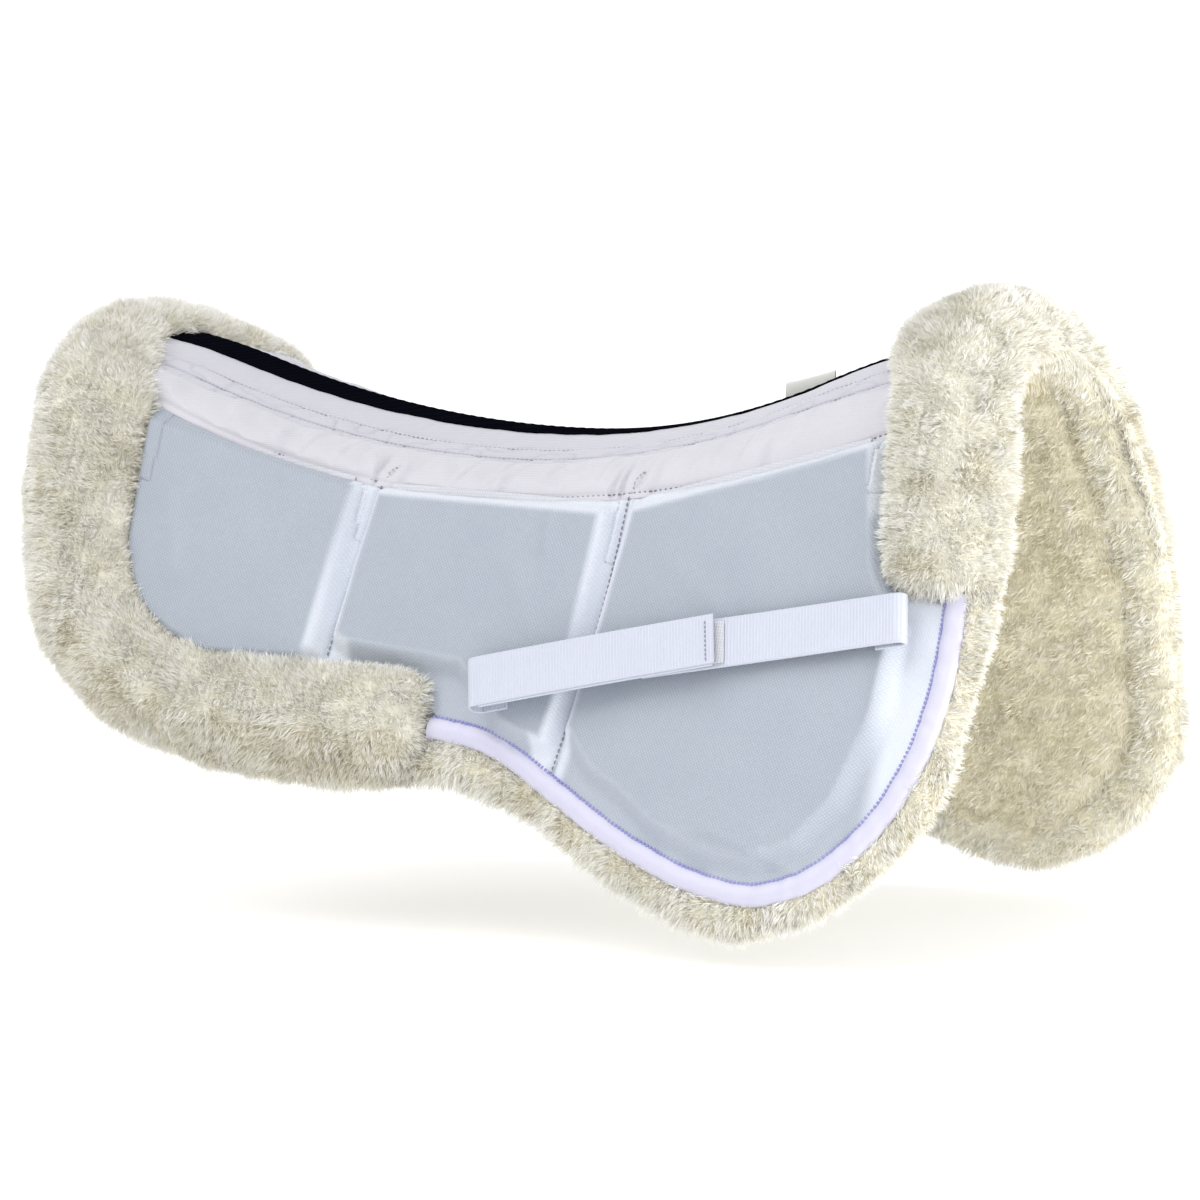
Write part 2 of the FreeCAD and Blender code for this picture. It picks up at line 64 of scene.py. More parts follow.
# ------------------------------------------------------------------ the pad's surface, as in the CAD, in mm
TILT = math.radians(22.4)
APEX, SPINE_GAP, CURVE_START, BAND_SLOPE = 192.0, 28.0, 14.0, 0.2
REAR_RADIUS, FRONT_RADIUS, REAR_EASE, FRONT_EASE = 570.0, 385.0, 180.0, 150.0
REAR_END, FRONT_END, FRONT_END_SLOPE = 288.0, 266.0, 0.1
HEM_CENTRE, HEM_DEPTH, HEM_RADIUS, HEM_REAR_END, HEM_FRONT_END = 12.0, 236.0, 525.0, -205.0, 226.0
COVER_TOP, PANEL_TOP, HINGE_HEIGHT, LIP_LENGTH = 3.0, 14.0, 13.3, 29.0
WOOL_DEPTH = 18.0
REAR_EDGE = [(120, -277), (165, -274), (230, -271), (278, -258), (316, -243)]
FRONT_EDGE = [(120, 267), (190, 276), (222, 283), (271, 287), (311, 283), (345, 278)]
LOWER_EDGE = [(-243, 316), (-222, 336), (-197, 355), (-172, 366), (-125, 378), (-60, 383), (10, 381),
              (56, 396), (107, 427), (150, 445), (178, 450), (215, 437), (243, 415), (266, 385), (278, 345)]
SPINE_EDGE_DEPTH, HEM_EDGE_DEPTH = 120.0, 170.0


def spine_height(x):
    """Height of the spine line over its lowest point."""
    x = np.asarray(x, float)
    out = np.zeros_like(x)
    for front in (False, True):
        radius, ease = (FRONT_RADIUS, FRONT_EASE) if front else (REAR_RADIUS, REAR_EASE)
        end, end_slope = (FRONT_END, FRONT_END_SLOPE) if front else (REAR_END, 0.0)
        reach = np.clip(x if front else -x, 0, None)
        near = np.minimum(reach, ease)
        slope = ease / math.sqrt(radius * radius - ease * ease)
        past = np.clip(reach - ease, 0, end - ease)
        height = radius - np.sqrt(radius * radius - near * near)
        height += slope * past - (slope - end_slope) * past * past / (2 * (end - ease))
        height += np.clip(reach - end, 0, None) * end_slope
        out += height
    return out


def hem_depth(x):
    """Depth of the hem, where the band meets the flat part of the wing."""
    d = np.clip(np.asarray(x, float), HEM_REAR_END, HEM_FRONT_END) - HEM_CENTRE
    return HEM_DEPTH - HEM_RADIUS + np.sqrt(HEM_RADIUS * HEM_RADIUS - d * d)


TABLE_STEP = 4.0
TABLE_X = np.arange(-304, 305, TABLE_STEP)
TABLE_W = np.arange(0, 141, 1.0)


def surface_table():
    """For each x: outward y, height z and lean of the layers at each distance w, and the hem's own w."""
    rows = []
    lean_start = math.atan(BAND_SLOPE)
    for rise, hem in zip(spine_height(TABLE_X), hem_depth(TABLE_X)):
        end = np.array((hem * math.sin(TILT), APEX - hem * math.cos(TILT)))
        depth = (APEX - rise - BAND_SLOPE * CURVE_START) / (math.cos(TILT) - BAND_SLOPE * math.sin(TILT))
        depth = min(depth, hem - 8)
        corner = np.array((depth * math.sin(TILT), APEX - depth * math.cos(TILT)))
        c = np.linspace(0, 1, 81)[:, None]
        start = np.array((CURVE_START, rise))
        curve = (1 - c) ** 2 * start + 2 * c * (1 - c) * corner + c * c * end
        points = np.vstack([[(0, rise)], curve])
        c_gap = np.interp(SPINE_GAP, curve[:, 0], c[:, 0])
        share = np.clip((c[:, 0] - c_gap) / (1 - c_gap), 0, 1)
        lean = lean_start + (math.pi / 2 - TILT - lean_start) * share
        lean = np.where(curve[:, 0] < SPINE_GAP, lean_start * curve[:, 0] / SPINE_GAP, lean)
        lean = np.concatenate([[0], lean])
        run = np.concatenate([[0], np.cumsum(np.hypot(*np.diff(points, axis=0).T))])
        past = np.clip(TABLE_W - run[-1], 0, None)
        y = np.interp(TABLE_W, run, points[:, 0]) + past * math.sin(TILT)
        z = np.interp(TABLE_W, run, points[:, 1]) - past * math.cos(TILT)
        rows.append((y, z, np.interp(TABLE_W, run, lean), run[-1]))
    return tuple(np.array(column) for column in zip(*rows))


TABLE_Y, TABLE_Z, TABLE_LEAN, TABLE_HEM = surface_table()


def hem_w(x):
    """Distance from the spine line to the hem, along the band."""
    return np.interp(x, TABLE_X, TABLE_HEM)


def to_w(x, depth):
    """Distance from the spine line of a place given by its depth."""
    return hem_w(x) + depth - hem_depth(x)


def place(side, x, w, n):
    """Points of a wing in metres: x along, w out from the spine line, n over the surface."""
    x, w, n = np.broadcast_arrays(*(np.asarray(a, float) for a in (x, w, n)))
    fx = np.clip((x - TABLE_X[0]) / TABLE_STEP, 0, len(TABLE_X) - 1.001)
    fw = np.clip(w, 0, TABLE_W[-1] - 0.001)
    i, j = fx.astype(int), fw.astype(int)
    a, b = fx - i, fw - j

    def look(table):
        low = table[i, j] * (1 - b) + table[i, j + 1] * b
        high = table[i + 1, j] * (1 - b) + table[i + 1, j + 1] * b
        return low * (1 - a) + high * a

    past = w - fw
    lean = look(TABLE_LEAN)
    y = look(TABLE_Y) + past * math.sin(TILT) + n * np.sin(lean)
    z = look(TABLE_Z) - past * math.cos(TILT) + n * np.cos(lean)
    return stacked(x, side * y, z) * MM


def on_plane(side, x, depth, n):
    """A point of the flat part of a wing in metres."""
    y = depth * math.sin(TILT) + n * math.cos(TILT)
    z = APEX - depth * math.cos(TILT) + n * math.sin(TILT)
    return np.stack(np.broadcast_arrays(x, side * y, z), -1).astype(float) * MM


def over_plane(points):
    """How far points lie outside the plane of the flat part of their wing, in mm."""
    return np.abs(points[..., 1]) / MM * math.cos(TILT) + (points[..., 2] / MM - APEX) * math.sin(TILT)


# ------------------------------------------------------------------ numbers that look like cloth and wool
def noise(points, size, seed):
    """Smooth noise from -1 to 1 with bumps about one size wide; points are (..., 2 or 3)."""
    p = np.asarray(points, float) / size + 1000.5
    base = np.floor(p).astype(np.int64)
    f = p - base
    f = f * f * (3 - 2 * f)
    total = np.zeros(p.shape[:-1])
    dims = p.shape[-1]
    primes = (73856093, 19349663, 83492791)
    for corner in range(2 ** dims):
        bits = [(corner >> d) & 1 for d in range(dims)]
        mixed = np.full(p.shape[:-1], seed * 2654435761 % 4294967296, np.int64)
        weight = np.ones(p.shape[:-1])
        for d, bit in enumerate(bits):
            mixed = mixed ^ ((base[..., d] + bit) * primes[d])
            weight = weight * (f[..., d] if bit else 1 - f[..., d])
        mixed = (mixed ^ (mixed >> 13)) * 1274126177 & 0xFFFFFFFF
        mixed = (mixed ^ (mixed >> 16)) & 0xFFFF
        total += weight * (mixed / 32767.5 - 1)
    return total


def stacked(*columns):
    """Coordinates put together into points."""
    return np.stack(columns, -1)


def smooth(t):
    """Eases from 0 to 1 as t does."""
    t = np.clip(t, 0, 1)
    return t * t * (3 - 2 * t)


def run_along(points):
    """Length of a line up to each of its points."""
    return np.concatenate([[0], np.cumsum(np.linalg.norm(np.diff(points, axis=0), axis=1))])


def sampled(where, run, values):
    """Each column of values, known at the lengths run, at the lengths where."""
    return np.stack([np.interp(where, run, column) for column in values.T], -1)


def polyline(points, count, corner=2.2):
    """Even points along a smooth curve through a few; a smaller corner rounds it more."""
    p = np.asarray(points, float)
    run = run_along(p)
    fine = np.linspace(0, run[-1], 400)
    dense = sampled(fine, run, p)
    reach = max(3, int(400 / (len(p) * corner)))
    window = np.hanning(2 * reach + 1)
    window /= window.sum()
    padded = np.vstack([2 * dense[0] - dense[reach:0:-1], dense, 2 * dense[-1] - dense[-2:-reach - 2:-1]])
    rounded = np.stack([np.convolve(column, window, "valid") for column in padded.T], -1)
    return sampled(np.linspace(0, run[-1], count), fine, rounded)


def signed_distance(points, loop):
    """Distance to a closed outline, positive inside."""
    p = np.asarray(points, float)
    shape = p.shape[:-1]
    p = p.reshape(-1, 2)
    a = np.asarray(loop, float)
    b = np.roll(a, -1, axis=0)
    best = np.full(len(p), 1e9)
    inside = np.zeros(len(p), bool)
    for (ax, ay), (bx, by) in zip(a, b):
        dx, dy = bx - ax, by - ay
        t = np.clip(((p[:, 0] - ax) * dx + (p[:, 1] - ay) * dy) / (dx * dx + dy * dy + 1e-12), 0, 1)
        best = np.minimum(best, np.hypot(p[:, 0] - ax - t * dx, p[:, 1] - ay - t * dy))
        if ay != by:
            crosses = ((ay > p[:, 1]) != (by > p[:, 1]))
            inside ^= crosses & (p[:, 0] < (bx - ax) * (p[:, 1] - ay) / (by - ay) + ax)
    return np.where(inside, best, -best).reshape(shape)


# ------------------------------------------------------------------ meshes
def new_mesh(name, verts, faces, material, smooth_faces=True):
    """An object from arrays; faces is a list of (count, 3 or 4) index arrays."""
    verts = np.asarray(verts, np.float32).reshape(-1, 3)
    faces = [np.asarray(f, np.int64) for f in faces if len(f)]
    mesh = bpy.data.meshes.new(name)
    mesh.vertices.add(len(verts))
    mesh.vertices.foreach_set("co", verts.ravel())
    totals = np.concatenate([np.full(len(f), f.shape[1]) for f in faces])
    loops = np.concatenate([f.ravel() for f in faces])
    mesh.loops.add(len(loops))
    mesh.loops.foreach_set("vertex_index", loops.astype(np.int32))
    mesh.polygons.add(len(totals))
    mesh.polygons.foreach_set("loop_start", np.concatenate([[0], np.cumsum(totals)[:-1]]).astype(np.int32))
    mesh.polygons.foreach_set("loop_total", totals.astype(np.int32))
    mesh.polygons.foreach_set("use_smooth", np.full(len(totals), smooth_faces))
    mesh.update(calc_edges=True)
    for item in material if isinstance(material, (list, tuple)) else [material]:
        mesh.materials.append(item)
    piece = bpy.data.objects.new(name, mesh)
    bpy.context.scene.collection.objects.link(piece)
    return piece


def grid_faces(rows, columns, start=0, wrap=False):
    """Faces of a grid of points, closed into a tube with wrap."""
    i, j = np.meshgrid(np.arange(rows - 1), np.arange(columns if wrap else columns - 1), indexing="ij")
    k = (j + 1) % columns
    quad = stacked(i * columns + j, i * columns + k, (i + 1) * columns + k, (i + 1) * columns + j)
    return quad.reshape(-1, 4) + start


def slab(name, over, under, material, side):
    """Closed cloth from an outer and an inner grid of points."""
    rows, columns = over.shape[:2]
    count = rows * columns
    top = grid_faces(rows, columns)
    bottom = grid_faces(rows, columns, count)[:, ::-1]
    index = np.arange(count).reshape(rows, columns)
    rim = np.concatenate([index[0, :-1], index[:-1, -1], index[-1, :0:-1], index[:0:-1, 0]])
    ahead = np.roll(rim, -1)
    wall = stacked(rim + count, ahead + count, ahead, rim)
    faces = np.concatenate([top, bottom, wall])
    if side > 0:
        faces = faces[:, ::-1]
    return new_mesh(name, np.concatenate([over.reshape(-1, 3), under.reshape(-1, 3)]), [faces], material)


def cut_slab(name, over, under, cells, material, side):
    """The part of a closed cloth whose grid cells are marked, and the numbers of the grid points it uses."""
    rows, columns = over.shape[:2]
    count = rows * columns
    index = np.arange(count).reshape(rows, columns)
    a, b, c, d = index[:-1, :-1], index[:-1, 1:], index[1:, 1:], index[1:, :-1]
    top = stacked(a, b, c, d)[cells]
    around = np.pad(cells, 1)
    faces = [top, top[:, ::-1] + count]
    for first, last, down, along in ((a, b, -1, 0), (b, c, 0, 1), (c, d, 1, 0), (d, a, 0, -1)):
        rim = cells & ~around[1 + down:rows + down, 1 + along:columns + along]
        start, stop = first[rim], last[rim]
        faces.append(stacked(start + count, stop + count, stop, start))
    faces = np.concatenate(faces)
    used, packed = np.unique(faces, return_inverse=True)
    faces = packed.reshape(faces.shape)
    verts = np.concatenate([over.reshape(-1, 3), under.reshape(-1, 3)])[used]
    piece = new_mesh(name, verts, [faces[:, ::-1] if side > 0 else faces], material)
    piece.data.polygons.foreach_set("use_smooth", np.arange(len(faces)) < 2 * len(top))
    return piece, used


# ------------------------------------------------------------------ materials
def material(name, color, roughness=0.8, **sockets):
    made = bpy.data.materials.new(name)
    made.use_nodes = True
    shader = made.node_tree.nodes["Principled BSDF"]
    shader.inputs["Base Color"].default_value = (*color, 1)
    shader.inputs["Roughness"].default_value = roughness
    for socket, value in sockets.items():
        shader.inputs[socket.replace("_", " ")].default_value = value
    return made


def add_node(made, kind, **values):
    """A node of a material, its sockets and settings given by name."""
    node = made.node_tree.nodes.new("ShaderNode" + kind)
    for name, value in values.items():
        socket = node.inputs.get(name.replace("_", " "))
        if socket is not None:
            socket.default_value = value
        else:
            setattr(node, name, value)
    return node


def mixed(made, factor, a, b):
    """A colour between a and b, each a colour or another node's output."""
    mix = add_node(made, "Mix", data_type="RGBA")
    for socket, value in (("A", a), ("B", b)):
        if isinstance(value, tuple):
            mix.inputs[socket].default_value = (*value, 1)
        else:
            made.node_tree.links.new(value, mix.inputs[socket])
    made.node_tree.links.new(factor, mix.inputs["Factor"])
    return mix.outputs["Result"]


def painted(made, color):
    made.node_tree.links.new(color, made.node_tree.nodes["Principled BSDF"].inputs["Base Color"])


def bumped(made, height, strength, distance):
    bump = add_node(made, "Bump", Strength=strength, Distance=distance)
    made.node_tree.links.new(height, bump.inputs["Height"])
    made.node_tree.links.new(bump.outputs["Normal"], made.node_tree.nodes["Principled BSDF"].inputs["Normal"])


def on_object(made, *nodes):
    """Lays textures out in the object's own coordinates."""
    where = add_node(made, "TexCoord")
    for node in nodes:
        made.node_tree.links.new(where.outputs["Object"], node.inputs["Vector"])


def computed(made, operation, *values):
    """A sum or product of numbers and other nodes' outputs."""
    node = add_node(made, "Math", operation=operation)
    for socket, value in zip(node.inputs, values):
        if isinstance(value, float):
            socket.default_value = value
        else:
            made.node_tree.links.new(value, socket)
    return node.outputs["Value"]


def fibrous(name, color, dark, size, roughness, bump=0.0001, **sockets):
    """Thread or satin: fine streaks between two colours, size metres wide, with their own relief."""
    made = material(name, color, roughness, **sockets)
    fine = add_node(made, "TexNoise", Scale=1 / size, Detail=3.0, Roughness=0.6)
    wide = add_node(made, "TexNoise", Scale=60.0, Detail=2.0)
    on_object(made, fine, wide)
    broad = computed(made, "MULTIPLY", wide.outputs["Fac"], 0.5)
    painted(made, mixed(made, computed(made, "MULTIPLY_ADD", fine.outputs["Fac"], 0.6, broad), dark, color))
    bumped(made, fine.outputs["Fac"], 0.4, bump)
    return made


STRAP_TILT = 11.6  # degrees that the webbing's threads are turned by
THREAD_SCALE = 0.314  # a wave texture's scale is this over the thread's width


def woven(name, color, dark, thread, depth, roughness=0.75, sheen=0.25, mottle=0.3, over=None, angle=0.0,
          strength=0.5, **sockets):
    """Plain weave: crossed threads of one width as colour and as relief, with uneven yarn.

    over is a second pair of colours where the piece's tone attribute is 1: the pockets' thin cloth over the
    foam shims, and painted shade in the creases and seams of the white cloth.
    """
    made = material(name, color, roughness, Sheen_Weight=sheen, **sockets)
    links = made.node_tree.links
    turns = [add_node(made, "Mapping", Rotation=(0, math.radians(angle + more), 0)) for more in (0.0, 90.0)]
    waves = []
    for turn in turns:
        wave = add_node(made, "TexWave", bands_direction="X", Scale=THREAD_SCALE / thread, Distortion=0.8,
                        Detail=1.0, Detail_Scale=2.0)
        links.new(turn.outputs["Vector"], wave.inputs["Vector"])
        waves.append(wave.outputs["Fac"])
    crossed = computed(made, "MULTIPLY", *waves)
    patches = add_node(made, "TexNoise", Scale=35.0, Detail=4.0)
    yarn = add_node(made, "TexNoise", Scale=0.6 / thread, Detail=2.0)
    on_object(made, *turns, patches, yarn)
    uneven = computed(made, "MULTIPLY", patches.outputs["Fac"], yarn.outputs["Fac"])
    threads = add_node(made, "MapRange", To_Min=0.0, To_Max=0.85)
    links.new(crossed, threads.inputs["Value"])
    amount = computed(made, "MULTIPLY_ADD", uneven, mottle * 2, threads.outputs["Result"])
    result = mixed(made, amount, dark, color)
    if over:
        tone = add_node(made, "Attribute", attribute_name="tone")
        result = mixed(made, tone.outputs["Fac"], result, mixed(made, amount, over[1], over[0]))
    painted(made, result)
    bumped(made, crossed, strength, depth)
    return made


def wool_shades(label, colors):
    """Wool shades from dark yellow to pale, with the fine crimp of the fibre as relief; the darker ones go to
    the roots, partly the wool's own yellower roots and partly painted shade deep in the pile.
    """
    made = []
    for i, color in enumerate(colors):
        shade = material(f"{label}_{i}", color, 0.9, Sheen_Weight=0.2, Sheen_Roughness=0.5,
                         Specular_IOR_Level=0.1)
        crimp = add_node(shade, "TexNoise", Scale=900.0, Detail=1.0)
        on_object(shade, crimp)
        bumped(shade, crimp.outputs["Fac"], 0.3, 0.0002)
        made.append(shade)
    return made


WOOL_SHADES = wool_shades("wool", [(0.76, 0.71, 0.57), (0.87, 0.85, 0.76), (0.93, 0.92, 0.86),
                                   (0.96, 0.95, 0.92)])
LINING_SHADES = wool_shades("lining_wool", [(0.86, 0.81, 0.63), (0.91, 0.87, 0.72), (0.94, 0.91, 0.79),
                                            (0.96, 0.94, 0.87)])
PANEL = woven("panel_cloth", (0.74, 0.77, 0.84), (0.64, 0.68, 0.76), 0.0013, 0.00025, 0.55, 0.2, 0.3,
              over=((0.46, 0.495, 0.555), (0.31, 0.352, 0.418)), angle=32.0, strength=0.7)
# the second, greyer pair: a little of it over the whole spine strip, and painted shade in the strip's seams
# and creases and in the mouth band's gathers, creases and upper edge
WHITE_CLOTH = woven("white_cloth", (0.66, 0.65, 0.69), (0.57, 0.56, 0.61), 0.001, 0.00015, 0.7, 0.15, 0.3,
                    over=((0.50, 0.50, 0.57), (0.42, 0.42, 0.50)), strength=0.6)
RIBBON = woven("ribbon", (0.86, 0.86, 0.83), (0.74, 0.74, 0.71), 0.0009, 0.0001, 0.6, 0.1)
TAPE_BLACK = woven("black_tape", (0.005, 0.005, 0.009), (0.002, 0.002, 0.004), 0.0012, 0.0002, 0.9, 0.0,
                   Specular_IOR_Level=0.0)
WEBBING = woven("white_webbing", (0.65, 0.67, 0.76), (0.52, 0.55, 0.65), 0.0008, 0.0001, 0.55, 0.2,
                angle=STRAP_TILT)
SATIN = fibrous("satin_piping", (0.63, 0.62, 0.75), (0.53, 0.52, 0.66), 0.0015, 0.36, Sheen_Weight=0.4)
LAVENDER = fibrous("lavender_thread", (0.34, 0.34, 0.64), (0.24, 0.24, 0.52), 0.0006, 0.6)
GREY_THREAD = fibrous("grey_thread", (0.27, 0.27, 0.31), (0.20, 0.20, 0.24), 0.0006, 0.7)
PALE_THREAD = fibrous("pale_thread", (0.46, 0.46, 0.50), (0.36, 0.36, 0.41), 0.0006, 0.7)
FOAM = woven("foam_sheet", (0.42, 0.44, 0.47), (0.33, 0.35, 0.38), 0.0016, 0.0003, 0.9, 0.1, 0.4)
HOOKS = woven("hook_and_loop", (0.74, 0.75, 0.80), (0.56, 0.57, 0.62), 0.0014, 0.0006, 0.9, 0.2)


# ------------------------------------------------------------------ wool
def surface_normals(points, outward):
    """Unit normals of a grid of points, on the side that the outward directions point to."""
    n = np.cross(np.gradient(points, axis=0), np.gradient(points, axis=1))
    n /= np.linalg.norm(n, axis=-1, keepdims=True) + 1e-12
    return n * (1 if np.sum(n * outward) > 0 else -1)


def bilinear(grid, u, v):
    """Values of a grid between its points."""
    i = np.clip(u.astype(int), 0, grid.shape[0] - 2)
    j = np.clip(v.astype(int), 0, grid.shape[1] - 2)
    a, b = (u - i)[..., None], (v - j)[..., None]
    return ((grid[i, j] * (1 - b) + grid[i, j + 1] * b) * (1 - a)
            + (grid[i + 1, j] * (1 - b) + grid[i + 1, j + 1] * b) * a)


MOST_STRANDS = 66000  # three triangles each, so a piece stays whole in the exported mesh
CLEARANCE = 4.3  # mm that the roots of the fringe keep from the piping's outline


def fibres(name, points, normals, density, length, width, shades, seed, keep=None, lock=0.006, comb=(0, 0, 0),
           swirl=9.0, top_light=0.0, clear_of=None):
    """Wool over a grid of points: tapering curled strands that gather in locks.

    points are in metres on the wool's skin; density is strands per square centimetre. top_light paints light
    from above: paler shades on strands that face up and darker ones on strands that face down. No strand
    starts inside the outline clear_of, in (x, depth).
    """
    rng = np.random.default_rng(seed)
    du = np.diff(points, axis=0)[:, :-1]
    dv = np.diff(points, axis=1)[:-1]
    area = np.linalg.norm(np.cross(du, dv), axis=-1)
    if keep is not None:
        area = area * keep[:-1, :-1]
    total = area.sum()
    count = min(int(total * 1e4 * density), MOST_STRANDS)
    flat = np.cumsum(area.ravel()) / total
    cell = np.searchsorted(flat, rng.random(count))
    u = cell // area.shape[1] + rng.random(count)
    v = cell % area.shape[1] + rng.random(count)
    if clear_of is not None:
        x, y, z = bilinear(points, u, v).T / MM
        depth = np.abs(y) * math.sin(TILT) + (APEX - z) * math.cos(TILT)
        outside = signed_distance(stacked(x, depth), clear_of) < -CLEARANCE
        u, v, count = u[outside], v[outside], int(outside.sum())
    root = bilinear(points, u, v)
    up = bilinear(normals, u, v)
    up /= np.linalg.norm(up, axis=-1, keepdims=True) + 1e-12
    # each strand leans to the axis of the lock whose jittered centre is nearest
    key = np.floor(root / lock)
    centre = (key + 0.5) * lock
    jitter = np.stack([noise(key, 0.37, seed + k) for k in (1, 2, 3)], -1)
    centre = centre + jitter * lock * 0.45
    lean = np.stack([noise(root / MM, swirl, seed + k) for k in (4, 5, 6)], -1)
    sizes = length * (0.8 + 0.35 * rng.random((count, 1)))
    target = (centre - root) * 0.42
    target -= up * np.sum(target * up, axis=-1, keepdims=True)
    drift = lean * sizes * 0.45 + np.asarray(comb) * sizes
    loose = rng.normal(0, 0.13, (count, 3)) * sizes
    tip = root + up * sizes + target + drift + loose
    middle = root + up * sizes * 0.55 + (target + drift) * 0.25 + loose * 0.1
    middle += rng.normal(0, 0.07, (count, 3)) * sizes
    cross = np.cross(up, rng.normal(0, 1, (count, 3)))
    cross /= np.linalg.norm(cross, axis=-1, keepdims=True) + 1e-12
    half = cross * width * (0.35 + 0.3 * rng.random((count, 1)))
    start = root - up * 0.001
    verts = np.stack([start - half, start + half, middle + half * 0.9, middle - half * 0.9, tip], 1)
    base = np.arange(count)[:, None] * 5
    quads = base + np.array([0, 1, 2, 3])
    tris = base + np.array([3, 2, 4])
    piece = new_mesh(name, verts.reshape(-1, 3), [quads, tris], shades)
    tone = noise(root / MM, 12.0, seed + 9) * 0.9 + rng.normal(0, 0.25, count)
    # painted light from above: the tone, and so the shade chosen, rises on strands facing up and falls on
    # those facing down
    tone += top_light * (up[:, 2] - 0.2)
    # roots take the two darker shades and tips the three paler ones: partly the wool's own colour, partly
    # painted shade deep in the pile
    low = np.digitize(tone, (-0.3,)).astype(np.int32)
    high = np.digitize(tone, (-0.75, 0.25)).astype(np.int32) + 1
    piece.data.polygons.foreach_set("material_index", np.concatenate([low, high]))
    return piece


def clumps(points, normals, seed, height):
    """Lifts a skin into the soft uneven surface that the tips of short wool make."""
    p = points / MM
    lumps = noise(p, 13.0, seed) * 0.55 + noise(p, 6.0, seed + 1) * 0.4
    lumps += noise(p, 2.6, seed + 2) * 0.2
    return points + normals * (lumps[..., None] * height)


def wool_shell(name, over, under, outward, side, shades, seed, height=0.0016):
    return slab(name, clumps(over, surface_normals(over, outward), seed, height), under, shades[1], side)


# ------------------------------------------------------------------ camera, light and floor
def aim(location, target):
    return (Vector(target) - Vector(location)).to_track_quat("-Z", "Y").to_euler()


AZIMUTH, ELEVATION, DISTANCE = math.radians(28.6), math.radians(5.3), 4.5
SCALE = 2.011 / MM
right_way = Vector((math.cos(AZIMUTH), math.sin(AZIMUTH), 0))
back_way = Vector((math.sin(AZIMUTH) * math.cos(ELEVATION), -math.cos(AZIMUTH) * math.cos(ELEVATION),
                   math.sin(ELEVATION)))
up_way = back_way.cross(right_way)
centre = right_way * 0.0126 - up_way * 0.0802
camera_data = bpy.data.cameras.new("camera")
camera = bpy.data.objects.new("camera", camera_data)
bpy.context.scene.collection.objects.link(camera)
camera.location = centre + back_way * DISTANCE
camera.rotation_euler = aim(camera.location, centre)
camera_data.sensor_width = 36
camera_data.lens = 36 * DISTANCE * SCALE / 1200
camera_data.clip_end = 50
bpy.context.scene.camera = camera


def lamp(name, kind, energy, color, location, target, **values):
    """A light aimed at a target."""
    data = bpy.data.lights.new(name, kind)
    data.energy, data.color = energy, color
    for setting, value in values.items():
        setattr(data, setting, value)
    made = bpy.data.objects.new(name, data)
    bpy.context.scene.collection.objects.link(made)
    made.location = location
    made.rotation_euler = aim(location, target)
    return made


SUNS = (("key", (-0.45, -0.75, 1.35), 1.55, 60, (1, 0.995, 0.98)),
        ("fill", (1.5, -1.3, 0.22), 0.7, 50, (1, 0.985, 0.95)),
        ("back", (-1.0, 1.6, 0.5), 0.7, 60, (1, 1, 1)))
FLOOR_GAP, FLOOR_REACH = 0.006, 40


def studio():
    """Soft light on a pale floor; only the camera sees the world as white paper."""
    world = bpy.data.worlds.new("studio")
    bpy.context.scene.world = world
    world.use_nodes = True
    tree = world.node_tree
    soft, paper = tree.nodes["Background"], tree.nodes.new("ShaderNodeBackground")
    seen, mix = tree.nodes.new("ShaderNodeLightPath"), tree.nodes.new("ShaderNodeMixShader")
    for light, color, strength in ((soft, (0.97, 0.98, 1, 1), 0.66), (paper, (1, 1, 1, 1), 1.0)):
        light.inputs["Color"].default_value = color
        light.inputs["Strength"].default_value = strength
    tree.links.new(seen.outputs["Is Camera Ray"], mix.inputs["Fac"])
    tree.links.new(soft.outputs["Background"], mix.inputs[1])
    tree.links.new(paper.outputs["Background"], mix.inputs[2])
    tree.links.new(mix.outputs["Shader"], tree.nodes["World Output"].inputs["Surface"])
    for name, direction, strength, spread, color in SUNS:
        made = lamp(name, "SUN", strength, color, direction, (0, 0, 0), angle=math.radians(spread))
        made.location = (0, 0, 0)
    for label, y in (("right", -0.2), ("left", 0.2)):
        arch = lamp(f"arch_{label}", "AREA", 1.9, (1, 0.99, 0.97), (0.85, y, -0.06), (0.1, -0.4 * y, -0.03),
                    shape="DISK", size=0.35)
        arch.visible_camera = False
    corners = [(x * FLOOR_REACH, y * FLOOR_REACH, 0) for x, y in ((-1, -1), (1, -1), (1, 1), (-1, 1))]
    floor = new_mesh("floor", corners, [[(0, 1, 2, 3)]],
                     material("floor", (0.7, 0.7, 0.7), 0.95, Specular_IOR_Level=0.0,
                              Emission_Color=(1, 1, 1, 1), Emission_Strength=0.46))
    floor.location.z = cad_low.z - FLOOR_GAP


studio()
bpy.context.scene.view_settings.view_transform = "Standard"


# ------------------------------------------------------------------ attaching pieces
def cross_spine(piece):
    """Bakes the placement into a piece that starts on the spine and runs out on to a wing."""
    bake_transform(piece)


def attach(piece, slot, *replaced, body=None):
    """The body that a piece rides on and the CAD pieces it stands for, which are hidden; slot, its material
    slot, is not used.
    """
    if body:
        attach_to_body(piece, body)
    if replaced:
        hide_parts(*replaced)


# ------------------------------------------------------------------ lining
def follow(points, value):
    """The second number of a list of pairs, at a value of the first."""
    keys = [p[0] for p in points]
    return np.interp(value, keys, [p[1] for p in points])


ROLL_HEIGHT = 23.0
FIRST_SEED, SEED_STEP = 100, 50


